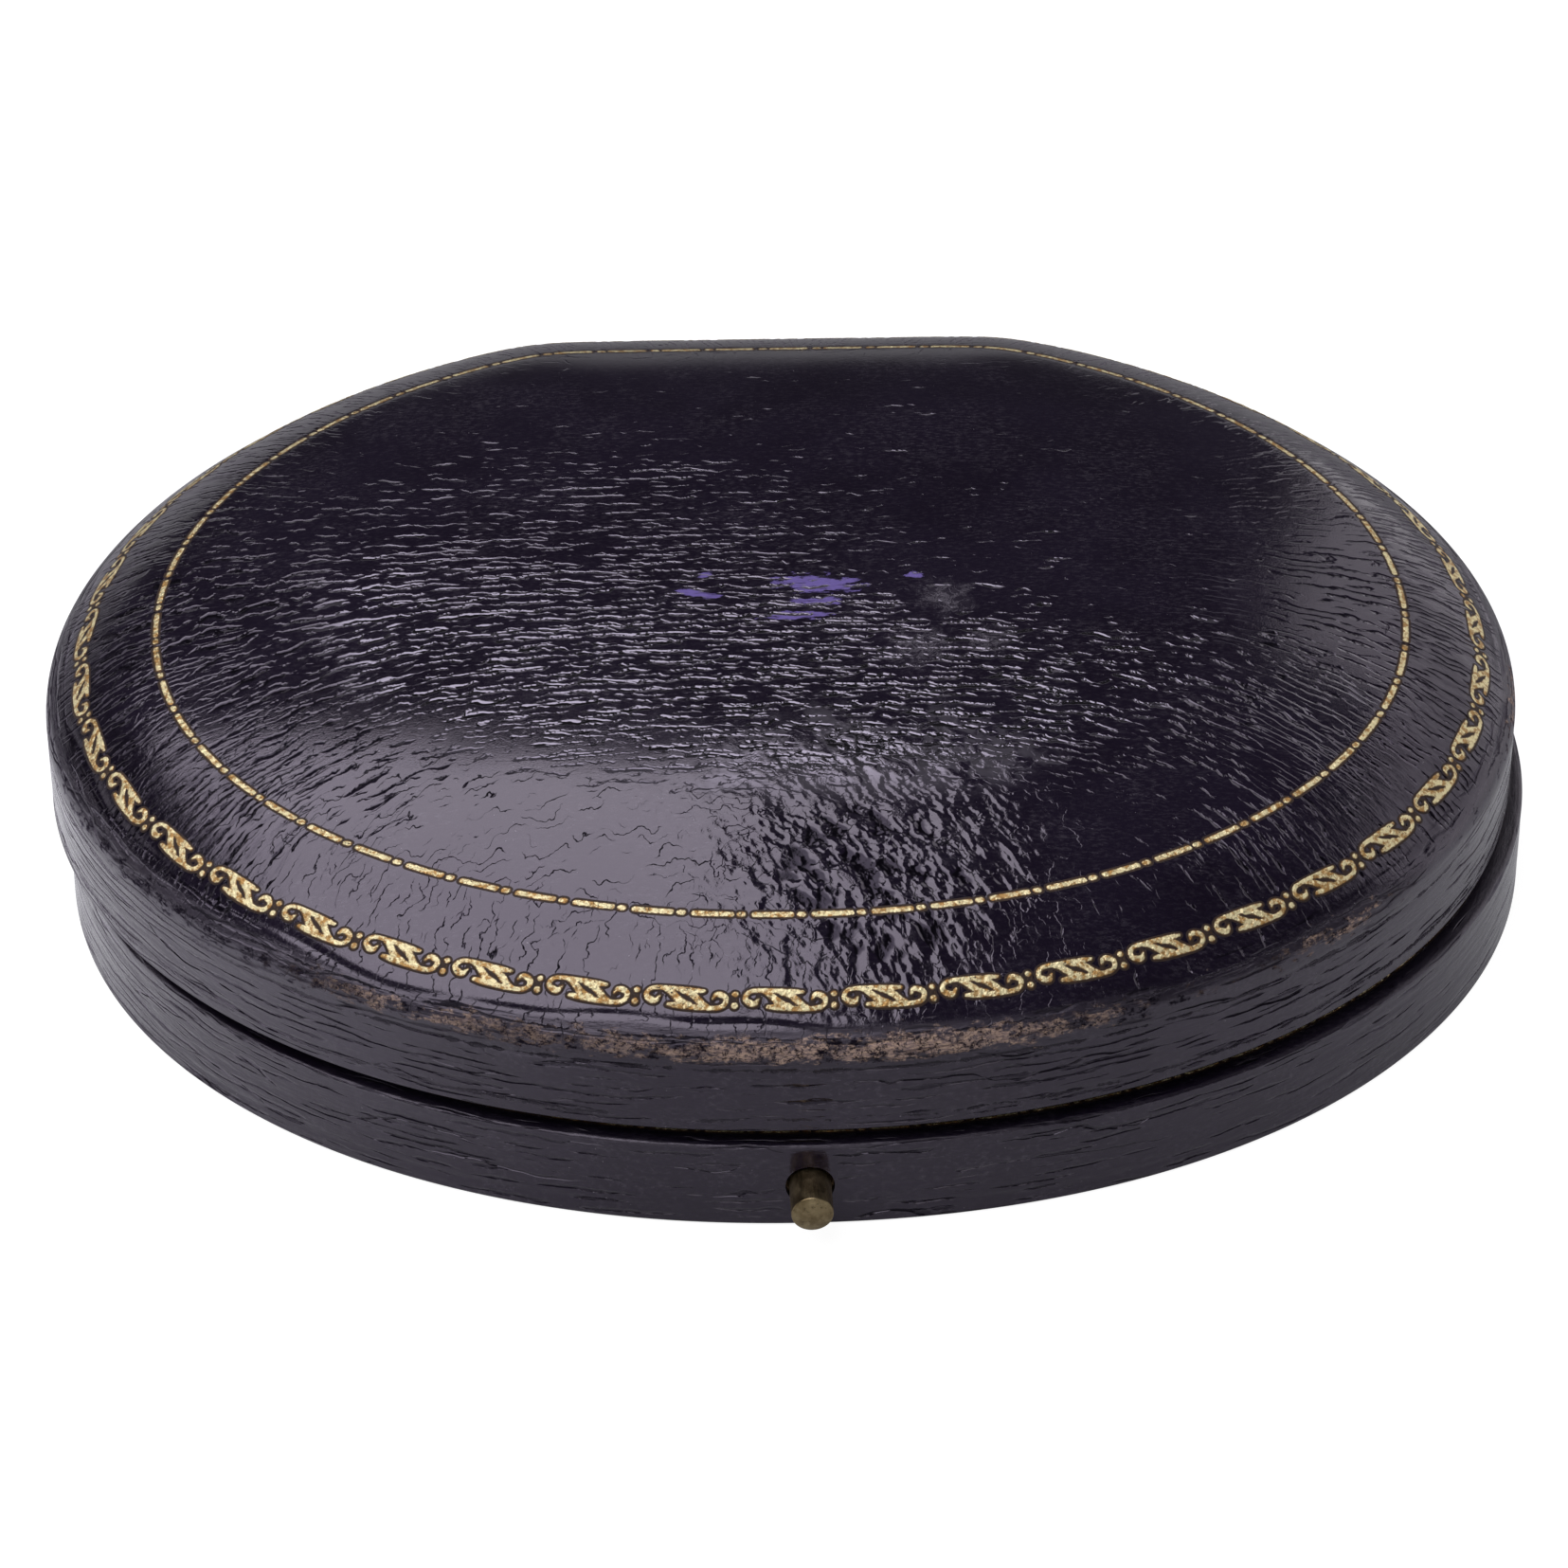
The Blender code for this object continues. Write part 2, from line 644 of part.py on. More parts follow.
def hang_lid():
    """Parent the lid's pieces to an empty on the hinge axis, and twist them as the worn hinge has."""
    pivot = bpy.data.objects.new("lid_pivot", None)
    pivot.location = hinge_axis
    case.objects.link(pivot)
    skew = bpy.data.objects.new("lid_skew", None)
    skew.parent = pivot
    skew.rotation_euler = (0, 0, -lid_twist)
    case.objects.link(skew)
    lid_names = ("lid_ring", "lid_dome_board", "lid_leather", "lid_band", "lid_satin_pad", "keeper_plate")
    for name in lid_names:
        twisted_parts.append(case.objects[name])
    for thing in twisted_parts + twisted_cutters:
        thing.parent = skew
        thing.location -= hinge_axis
    for thing in lid_parts:
        thing.parent = pivot
        thing.location -= hinge_axis


clear_scene()
case = new_collection("bracelet_case")
cutters = new_collection("cutters")
lid_parts = []
twisted_parts = []
twisted_cutters = []

leather_finish = material("morocco_leather", (0.028, 0.022, 0.042), 0.35)
collar_finish = material("collar_leather", (0.022, 0.018, 0.034), 0.5)
wood = material("poplar", (0.42, 0.28, 0.16), 0.7)
paper_finish = material("bottom_paper", (0.03, 0.027, 0.045), 0.8)
velvet = material("velvet", (0.07, 0.03, 0.16), 0.95)
satin = material("satin", (0.78, 0.72, 0.6), 0.45)
brass = material("brass", (0.62, 0.45, 0.2), 0.35, 1.0)
aged_brass = material("aged_brass", (0.3, 0.23, 0.1), 0.45, 1.0)
steel = material("spring_steel", (0.35, 0.36, 0.38), 0.4, 1.0)

base_ring, base_board, base_paper, base_skin = base_shell()
base_collar = base_lining()
lid_ring_piece, lid_skin_piece = lid_shell()
lid_lining()
hinge(base_ring, base_skin, lid_ring_piece, lid_skin_piece)
push_button(base_ring, base_skin)
latch_spring(base_ring)
catch(base_skin, base_collar)
keeper(lid_ring_piece, lid_skin_piece)
hang_lid()
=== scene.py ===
"""Looks of an oval, leather-covered bracelet case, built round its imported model.

Shapes are worked out in millimetres, +Z up, and become metres as they are put into meshes.
Every oval piece follows the case's own outline, drawn in by an inset.  A turn of 0 looks
along +X and a quarter turn along +Y, and the lid's pieces take its slight twist last.
"""
import math

import bmesh
import bpy
import numpy as np
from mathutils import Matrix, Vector


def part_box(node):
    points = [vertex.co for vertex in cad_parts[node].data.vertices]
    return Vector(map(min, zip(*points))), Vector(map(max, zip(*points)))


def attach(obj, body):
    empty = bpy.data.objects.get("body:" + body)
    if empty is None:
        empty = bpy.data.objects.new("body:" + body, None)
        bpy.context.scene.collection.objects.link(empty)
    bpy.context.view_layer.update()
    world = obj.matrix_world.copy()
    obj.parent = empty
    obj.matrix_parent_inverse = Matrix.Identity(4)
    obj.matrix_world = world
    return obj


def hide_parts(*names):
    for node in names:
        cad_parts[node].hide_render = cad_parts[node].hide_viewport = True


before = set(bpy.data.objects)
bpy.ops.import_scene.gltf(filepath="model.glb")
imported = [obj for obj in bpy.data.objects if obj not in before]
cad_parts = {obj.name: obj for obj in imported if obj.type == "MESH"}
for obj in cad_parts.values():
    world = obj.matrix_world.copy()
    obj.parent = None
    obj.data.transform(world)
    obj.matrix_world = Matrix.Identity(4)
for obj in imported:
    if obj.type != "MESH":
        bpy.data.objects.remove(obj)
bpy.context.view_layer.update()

mm = 0.001

# Outline and levels of the case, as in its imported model
half_width = 47.5
front_reach = 37.9
rear_reach = 40.2
rear_flat = 37.8
corner_softness = 0.35
front_power = 2.07
rear_power = 2.0
ledge = 6.35
rim = 7.5
shoulder = 13.97
border_inset = 2.4
border_rise = 2.13
line_inset = 7.35
line_rise = 2.6
crown_rise = 2.6
crown_power = 3.5
edge_round = 0.6
lid_twist = math.radians(-1.5)
leather = 0.6
rim_round = 0.3
slope_share = 0.82
edge_slope = border_rise / border_inset

# Places inside the walls
ring_inner_inset = 5.0 - 0.25
collar_inset = 5.0
collar_thickness = 1.1
collar_low = 2.4
collar_high = 9.2
collar_round = 0.35
well_inset = 6.35
well_low = 2.4
well_floor = 3.4
well_lip = 8.4
base_turn_in = 7.0
lid_face_inset = 3.3
turn_in_inset = 2.9
turn_in_high = 10.5
band_low = 10.75
band_high = 12.87
pad_half_width = 27.0
pad_half_depth = 22.0
pad_low = 3.65
pad_height = 3.1
lid_pad_inset = 3.95
lid_pad_drop = 1.15
hinge_half = 15.25
hinge_height = 7.0
hinge_swing = 1.2
hinge_neck = 36.35
hinge_clear = 40.0
keeper_half = 3.65
keeper_back = -35.125
keeper_front = -33.5
keeper_high = 10.6
button_side = -1.17
button_height = 3.15
button_radius = 1.3
button_proud = 2.9
button_dome = 0.3
flange_radius = 1.55
flange_low = 1.85
flange_high = 2.25
tail_radius = 0.6

# Gilt roll border and dash line
motif_count = 43
motif_phase = -0.65
motif_half_length = 2.56
motif_half_height = 0.70
dash_count = 62
dash_phase = -12.25
dash_half_length = 1.12
dash_half_width = 0.152
bead_half_length = 0.2
ledge_dash_count = 78
ledge_dash_phase = 0.4
ledge_dash_inset = 1.55
line_slope = 0.32
foil_lift = 0.03
foil_relief = 0.006
# Lift and spread of the dark sheet under the gold that paints the shade of its pressed groove
shade_sheet_lift = 0.008
foil_sink = 0.05
foil_spread = 0.068
shade_sheet_spread = 0.13

# Leather's skin: gap to the wood, lumps, the pressed line, a fold, and creases as (share of height, depth)
skin_gap = 0.02
top_lumps = 0.04
wall_lumps = 0.09
line_groove = 0.05
line_groove_width = 0.3
fold_inset = 1.15
fold_depth = 0.06
fold_width = 0.16
wall_creases = ((0.14, 0.07), (0.84, 0.07), (0.45, 0.03))
wall_crease_width = 0.16
lid_around = 580
base_around = 600

# Soft pads: how far they swell, and their cloth simulation
swelling = 0.33
pad_pressure = 0.5
puff_pressure = 0.25
cloth_scale = 8.0
cloth_frames = 20

# Studio, in metres
panel_height = 0.6
panel_radiance = 2.45
floor_half = 4.0
floor_level = -0.00005

full_turn = 2.0 * math.pi
front_turn = -math.pi / 2.0


def oval(inset, turn):
    """Outline drawn in by inset: a superellipse of the turn, its rear cut by a softened flat."""
    across, along = np.cos(turn), np.sin(turn)
    rear = along > 0.0
    power = np.where(rear, rear_power, front_power)
    reach = np.where(rear, rear_reach, front_reach) - inset
    x = (half_width - inset) * np.sign(across) * np.abs(across) ** (2.0 / power)
    y = reach * np.sign(along) * np.abs(along) ** (2.0 / power)
    flat = rear_flat - inset
    y = -corner_softness * np.logaddexp(-y / corner_softness, -flat / corner_softness)
    return x, y


def unevenness(x, y, z, seed, size, height):
    """Slow lumps: the sum of a dozen plane waves of random direction, none shorter than size."""
    chance = np.random.default_rng(seed)
    total = np.zeros(np.broadcast(x, y, z).shape)
    for wave in range(12):
        way = chance.normal(size=3)
        way *= full_turn / (size * (1.0 + wave / 4.0)) / np.linalg.norm(way)
        total += np.sin(x * way[0] + y * way[1] + z * way[2] + chance.uniform(0.0, full_turn))
    return total * height / 12.0


def smooth_step(value, low, high):
    share = np.clip((value - low) / (high - low), 0.0, 1.0)
    return share * share * (3.0 - 2.0 * share)


def twisted(points):
    """Turns points by the lid's twist, about the middle of the hinge."""
    cosine, sine = math.cos(lid_twist), math.sin(lid_twist)
    x, y = points[..., 0], points[..., 1] - rear_flat
    return np.stack([cosine * x - sine * y, sine * x + cosine * y + rear_flat, points[..., 2]], axis=-1)


def lid_top(step, turn):
    """Point of the lid's top: step 0 is the outline, 1 the dash line and 2 the middle.

    Height rises straight from the shoulder to the border, bends as a parabola to the dash
    line, and over the crown it falls off with a power of the share of the line's oval.
    The dash line is pressed in a little, a fold wanders round outside the border, and the
    whole top is lumpy.
    """
    step, turn = np.broadcast_arrays(step, turn)
    inset = line_inset * np.minimum(step, 1.0)
    share = np.clip(2.0 - step, 0.0, 1.0)
    x, y = oval(inset, turn)
    x, y = x * share, y * share
    band = line_inset - border_inset
    slope = edge_slope * slope_share
    bend = 2.0 * (line_rise / band - slope) / band
    over = np.maximum(inset - border_inset, 0.0)
    z = shoulder + edge_slope * np.minimum(inset, border_inset) + slope * over + bend * over * over / 2.0
    z = z + crown_rise * (1.0 - share ** crown_power)
    reach = np.hypot(x, y)
    beyond = np.where(share < 1.0, reach * (1.0 - share) / np.maximum(share, 0.05), inset - line_inset)
    z = z - line_groove * np.exp(-(beyond / line_groove_width) ** 2)
    fold = fold_inset + unevenness(x, y, 0.0 * x, 23, 8.0, 1.1)
    depth = fold_depth * np.clip(0.6 + unevenness(x, y, 0.0 * x, 29, 6.0, 2.4), 0.0, 1.3)
    z = z - depth * np.exp(-((inset - fold) / fold_width) ** 2)
    z = z + (unevenness(x, y, z, 3, 7.0, top_lumps) - top_lumps * 0.4) * smooth_step(inset, 0.3, 2.0)
    return np.stack([x, y, z], axis=-1)


def arc_table(inset):
    """Turns round the outline from its front, with the length walked to each, and the whole length."""
    turn = front_turn + np.linspace(0.0, full_turn, 7201)
    x, y = oval(inset, turn)
    walked = np.concatenate([[0.0], np.cumsum(np.hypot(np.diff(x), np.diff(y)))])
    return turn, walked, walked[-1]


def turn_at(length, inset):
    """Turn of the point that lies a length along the outline from its front, to the right."""
    turn, walked, whole = arc_table(inset)
    return np.interp(np.mod(length, whole), walked, turn)


class Wires:
    """Adds nodes to one node tree.  A socket given as a value is linked, and others are set."""

    def __init__(self, tree):
        self.tree = tree

    def give(self, socket, value):
        if isinstance(value, bpy.types.NodeSocket):
            self.tree.links.new(value, socket)
        else:
            socket.default_value = value

    def put(self, kind, sockets=None, **settings):
        made = self.tree.nodes.new(kind)
        for key, value in settings.items():
            setattr(made, key, value)
        for key, value in (sockets or {}).items():
            self.give(made.inputs[key], value)
        return made

    def maths(self, operation, *values):
        return self.put("ShaderNodeMath", dict(enumerate(values)), operation=operation).outputs[0]

    def chain(self, operation, first, *others):
        """Several values, taken together two at a time by one operation."""
        for value in others:
            first = self.maths(operation, first, value)
        return first

    def add(self, *values):
        return self.chain("ADD", *values)

    def less(self, *values):
        return self.chain("SUBTRACT", *values)

    def times(self, *values):
        return self.chain("MULTIPLY", *values)

    def over(self, *values):
        return self.chain("DIVIDE", *values)

    def most(self, *values):
        return self.chain("MAXIMUM", *values)

    def smooth(self, value, low, high, start=0.0, end=1.0):
        sockets = {"Value": value, "From Min": low, "From Max": high, "To Min": start, "To Max": end}
        return self.put("ShaderNodeMapRange", sockets, interpolation_type="SMOOTHSTEP").outputs[0]

    def mix(self, share, first, second):
        return self.put("ShaderNodeMix", {0: share, 2: first, 3: second}, data_type="FLOAT").outputs[0]

    def tint(self, share, first, second):
        return self.put("ShaderNodeMix", {0: share, 6: first, 7: second}, data_type="RGBA").outputs[2]

    def noise(self, vector, scale, detail=2.0, rough=0.5, warp=0.0):
        sockets = {"Vector": vector, "Scale": scale, "Detail": detail, "Roughness": rough, "Distortion": warp}
        return self.put("ShaderNodeTexNoise", sockets).outputs["Fac"]

    def swing(self, *settings):
        """Noise that swings about 0, from -0.5 to 0.5."""
        return self.add(self.noise(*settings), -0.5)

    def join(self, x, y, z=0.0):
        return self.put("ShaderNodeCombineXYZ", {0: x, 1: y, 2: z}).outputs[0]

    def split(self, vector):
        return self.put("ShaderNodeSeparateXYZ", {0: vector}).outputs

    def place(self, factor=(1.0, 1.0, 1.0)):
        """Object coordinates in millimetres, each times its factor."""
        factors = tuple(share / mm for share in factor)
        where = self.put("ShaderNodeTexCoord").outputs["Object"]
        return self.put("ShaderNodeVectorMath", {0: where, 1: factors}, operation="MULTIPLY").outputs[0]

    def map(self, name):
        return self.put("ShaderNodeUVMap", uv_map=name).outputs[0]

    def mark(self, name):
        return self.put("ShaderNodeAttribute", attribute_name=name + "_share").outputs["Fac"]

    def use(self, group, **values):
        """One of this script's effects; a value's name has its words joined by underlines."""
        sockets = {key.replace("_", " ").capitalize(): value for key, value in values.items()}
        return self.put("ShaderNodeGroup", sockets, node_tree=group).outputs[0]


def effect(name, inputs, output):
    """Shader node group with float inputs and their usual values, and one float output."""
    group = bpy.data.node_groups.new(name, "ShaderNodeTree")
    for label, value in inputs.items():
        socket = group.interface.new_socket(label, in_out="INPUT", socket_type="NodeSocketFloat")
        socket.default_value = value
    group.interface.new_socket(output, in_out="OUTPUT", socket_type="NodeSocketFloat")
    wires = Wires(group)
    given = wires.put("NodeGroupInput").outputs
    return group, wires, given, wires.put("NodeGroupOutput").inputs[0]


def creases_effect():
    """Depth in millimetres of parallel broken creases, and 0 between them.

    Lines of equal spacing wander with a noise.  Each line has its own noise along it, which
    opens it where it is strong, so a crease swells in the middle and tapers at both ends.
    Its section is a V, as wide as Width on its far side and Lean times that on its near side.
    Slope is the steepness of the far side, so a narrow crease is a shallow one.
    """
    inputs = {"Along": 0.0, "Across": 0.0, "Spacing": 1.0, "Length": 3.0, "Wander": 0.5,
              "Width": 0.1, "Lean": 1.0, "Slope": 0.4, "Breaks": 0.5, "Seed": 0.0}
    group, wires, given, output = effect("broken creases", inputs, "Depth")
    across, spacing, seed, breaks = (given[key] for key in ("Across", "Spacing", "Seed", "Breaks"))
    share = wires.over(given["Along"], given["Length"])
    slow = wires.join(share, wires.over(across, wires.times(spacing, 2.2)), seed)
    drift = wires.times(wires.swing(slow, 0.9, 3.0), given["Wander"], 4.0)
    line = wires.add(wires.over(across, spacing), drift)
    number = wires.maths("FLOOR", line)
    offset = wires.times(wires.add(wires.maths("FRACT", line), -0.5), spacing)
    away = wires.most(offset, wires.over(wires.times(offset, -1.0), given["Lean"]))
    own = wires.noise(wires.join(share, wires.times(number, 7.31), wires.add(seed, 3.7)), 1.0, 1.5)
    half = wires.times(given["Width"], wires.smooth(own, breaks, wires.add(breaks, 0.13)))
    wires.give(output, wires.times(wires.most(wires.less(half, away), 0.0), given["Slope"]))
    return group


def patch_effect():
    """Oval patch: 1 in its middle, 0 at its edge and below 0 outside, measured in place."""
    inputs = {"X": 0.0, "Y": 0.0, "Middle x": 0.0, "Middle y": 0.0, "Half length": 1.0,
              "Half width": 1.0, "Lean": 0.0}
    group, wires, given, output = effect("oval patch", inputs, "Share")
    x = wires.less(given["X"], given["Middle x"])
    y = wires.less(given["Y"], given["Middle y"], wires.times(x, given["Lean"]))
    x, y = wires.over(x, given["Half length"]), wires.over(y, given["Half width"])
    reach = wires.maths("SQRT", wires.add(wires.times(x, x), wires.times(y, y)))
    wires.give(output, wires.less(1.0, reach))
    return group


creases = creases_effect()
patch = patch_effect()


def finish(name):
    """New material with its Principled shader's wires; nothing in it is linked yet."""
    material = bpy.data.materials.new(name)
    material.use_nodes = True
    wires = Wires(material.node_tree)
    return material, wires, material.node_tree.nodes["Principled BSDF"]


def set_shader(wires, shader, **values):
    """Sets or links the shader's sockets; a name's words are joined by underlines."""
    for key, value in values.items():
        wires.give(shader.inputs[key.replace("_", " ").title().replace("Ior", "IOR")], value)


def bump(wires, shader, height, depth):
    """Feeds a height of 0 to 1, which stands for depth in millimetres, into the shader's normal."""
    node = wires.put("ShaderNodeBump", {"Strength": 1.0, "Distance": depth * mm, "Height": height})
    wires.tree.links.new(node.outputs[0], shader.inputs["Normal"])


def grey(value):
    return (value, value, value, 1.0)


def crackled(wires, along, across, seed):
    """Depth of wrinkles that run down to the right, and of the uneven lumps between them."""
    down = wires.add(wires.times(along, 0.6), wires.times(across, -0.8))
    over = wires.add(wires.times(along, 0.8), wires.times(across, 0.6))
    wrinkles = wires.use(creases, along=down, across=over, seed=seed, **wrinkle_kind)
    lumps = wires.noise(wires.join(wires.times(down, 0.75), over, seed), 0.8, 2.0, 0.5)
    return wrinkles, wires.smooth(lumps, 0.3, 0.7, 0.0, 0.2)


def ripples(wires, along, across, size, depth, seed):
    """Depth of soft uneven folds: a noise drawn out to four times its size along one way."""
    place = wires.join(wires.times(along, 0.25 / size), wires.times(across, 1.0 / size), seed)
    return wires.times(wires.noise(place, 1.0, 4.0, 0.6), depth)


def wandering_crease(wires, arc, walk, place, wander, half, slope, seed):
    """Depth of one long ragged crease round the case: its place and its width wander as it goes."""
    drift = wires.swing(wires.join(arc, 0.0, seed), 0.16, 2.0)
    shake = wires.swing(wires.join(arc, wires.times(walk, 2.0), seed + 2.0), 1.8, 5.0, 0.65)
    away = wires.add(walk, -place, wires.times(drift, wander), wires.times(shake, 0.6))
    wide = wires.noise(wires.join(arc, 0.0, seed + 4.0), 0.5, 4.0, 0.6)
    wide = wires.smooth(wide, 0.38, 0.58, 0.0, half)
    return wires.times(wires.most(wires.less(wide, wires.maths("ABSOLUTE", away)), 0.0), slope)


def leather_surface(wires, shader, dents, worn, tan, painted_glint_zone, shade, violet=None, residue=None):
    """Shared look of the glazed leather: near-black violet, dulled where it is worn.

    dents is the depth of the grain in millimetres.  The glint zone is where crease walls get
    painted glints: a mirror-bright colour, laid only over the dark part of the dome.  shade is
    painted shade in creases, cracks and hollows, together with dark torn patches where the leather
    is worn.  Both set Metallic, so that the base colour there says how much is mirrored.
    """
    place = wires.place()
    cloud = wires.noise(place, 0.12, 3.0)
    colour = wires.tint(wires.smooth(cloud, 0.3, 0.7), leather_dark, leather_light)
    # Pale dusty streaks along the grain: partly real soiling, partly painted faint glints on the dark leather
    dust_and_painted_glints = wires.times(wires.smooth(wires.noise(wires.place((0.6, 1.6, 1.0)), 3.4, 5.0, 0.75), 0.46, 0.7),
                       wires.smooth(wires.noise(place, 0.16, 4.0, 0.65), 0.4, 0.62, 0.2, 0.65))
    specks = wires.smooth(wires.noise(place, 5.5, 1.0), 0.79, 0.83)
    colour = wires.tint(specks, wires.tint(dust_and_painted_glints, colour, dust_and_glint_colour), speck_colour)
    dull = wires.most(worn, tan, wires.smooth(wires.mark("wear"), 0.05, 0.35, 0.0, 0.5))
    for share, tone in ((residue, residue_colour), (violet, scuff_colour)):
        if share is not None:
            colour = wires.tint(share, colour, tone)
            dull = wires.most(dull, share)
    # Painted glints: in the glint zone the crease walls take a mirror-bright violet grey
    painted_crease_glint = wires.times(wires.smooth(dents, 0.003, 0.02), painted_glint_zone)
    colour = wires.tint(painted_crease_glint, colour, painted_glint_colour)
    # The worn strip also gets dark torn patches, laid into the same mask as the painted shade
    torn = wires.smooth(wires.noise(place, 1.7, 6.0, 0.7), 0.42, 0.54, 0.1, 0.97)
    shade = wires.most(shade, wires.times(wires.less(worn, tan), torn))
    fibre = wires.noise(wires.place((0.5, 1.0, 2.0)), 4.0, 5.0, 0.7)
    tan_tone = wires.tint(wires.smooth(fibre, 0.36, 0.66), tan_dark, tan_light)
    # Painted shade and the torn patches turn near black; torn-through places show tan
    colour = wires.tint(tan, wires.tint(shade, colour, painted_shade_colour), tan_tone)
    rough = wires.add(wires.mix(wires.smooth(cloud, 0.35, 0.7), 0.07, 0.1),
                      wires.times(wires.noise(place, 5.0, 3.0), 0.05))
    set_shader(wires, shader, base_color=colour, roughness=wires.mix(dull, rough, 0.62),
               metallic=wires.most(shade, painted_crease_glint), specular_ior_level=0.95, specular_tint=leather_sheen)
    pores = wires.times(wires.noise(place, 9.0, 2.0), 0.005)
    bump(wires, shader, wires.less(pores, dents), 1.0)


leather_dark = (0.0048, 0.0024, 0.0090, 1.0)
leather_light = (0.0072, 0.0042, 0.0130, 1.0)
leather_sheen = (0.95, 0.87, 1.0, 1.0)
scuff_colour = (0.1, 0.066, 0.285, 1.0)
residue_colour = (0.075, 0.068, 0.085, 1.0)
# Colour of the dusty streaks, which also paint faint glints
dust_and_glint_colour = (0.052, 0.046, 0.060, 1.0)
speck_colour = (0.16, 0.15, 0.17, 1.0)
# Near black of the painted shade in creases and hollows
painted_shade_colour = (0.009, 0.007, 0.013, 1.0)
# Mirror colour of the painted glints in the creases
painted_glint_colour = (0.2, 0.184, 0.222, 1.0)
tan_dark = (0.15, 0.10, 0.09, 1.0)
tan_light = (0.46, 0.32, 0.22, 1.0)


def patches(wires, x, y, table):
    """Largest share of several oval patches at each point."""
    return wires.most(*[wires.use(patch, x=x, y=y, middle_x=middle_x, middle_y=middle_y,
                                  half_length=half_length, half_width=half_wide, lean=lean)
                        for middle_x, middle_y, half_length, half_wide, lean in table])


def lid_grain(wires, arc, walk, unlit):
    """Depth of all the lid's grain, and the painted shade laid in its creases, cracks, fold and lumps."""
    dome_x, dome_y, _ = wires.split(wires.map("dome"))
    on_dome, round_edge = {"along": dome_x, "across": dome_y}, {"along": walk, "across": arc}
    edge_share, wall_share, strength, crackle_share = (
        wires.mark(name) for name in ("edge", "wall", "grain", "crackle"))
    drift = wires.swing(wires.join(dome_x, dome_y), 0.2, 3.0)
    sparse = wires.smooth(wires.add(strength, wires.times(drift, 0.8)), 0.0, 1.0, 0.68, 0.40)
    wide = wires.mix(wires.mark("broad"), 0.5, 1.0)
    dome = wires.add(
        wires.use(creases, width=wires.times(wide, 0.17), breaks=sparse, **on_dome, **long_kind),
        wires.use(creases, width=wires.times(wide, 0.12), breaks=wires.add(sparse, 0.01),
                  **on_dome, **short_kind),
        wires.times(wires.mark("fine"), wires.use(creases, **on_dome, **fine_kind)))
    edge = wires.add(wires.use(creases, breaks=sparse, **round_edge, **edge_kind),
                     wires.times(ripples(wires, walk, arc, 0.5, 0.06, 3.0), strength))
    wall_marks = wires.add(wall_grain(wires, arc, walk, sparse, 9.0),
                           wandering_crease(wires, arc, walk, 0.95, 0.5, 0.2, 0.9, 41.0),
                           wandering_crease(wires, arc, walk, 4.9, 0.9, 0.17, 0.9, 51.0))
    wall = wires.add(wall_marks, wires.times(ripples(wires, arc, walk, 0.6, 0.12, 83.0), strength))
    dents = wires.mix(wall_share, wires.mix(edge_share, dome, edge), wall)
    # Painted shade in the creases: on the dome where no glints are painted, on the walls along the crease
    # lines
    painted_crease_shade = wires.mix(wall_share, wires.times(wires.smooth(dents, 0.012, 0.05), unlit),
                     wires.smooth(wall_marks, 0.01, 0.06, 0.0, 0.5))
    cracks = wires.mix(edge_share, wires.use(creases, **on_dome, **dome_crack_kind),
                       wires.use(creases, **round_edge, **edge_crack_kind))
    cracks = wires.times(cracks, wires.mark("crack"))
    wrinkles, lumps = crackled(wires, dome_x, dome_y, 7.0)
    lumps = wires.times(lumps, crackle_share)
    fold = wandering_crease(wires, arc, walk, -1.25, 0.8, 0.1, 0.8, 31.0)
    # Painted shade also in the cracks, the fold and between the crackle's lumps
    painted_crease_shade = wires.most(painted_crease_shade, wires.smooth(wires.add(cracks, fold), 0.005, 0.03, 0.0, 0.75),
                      wires.times(wires.smooth(lumps, 0.09, 0.13), unlit))
    return wires.add(dents, cracks, wires.times(wrinkles, crackle_share), lumps, fold), painted_crease_shade


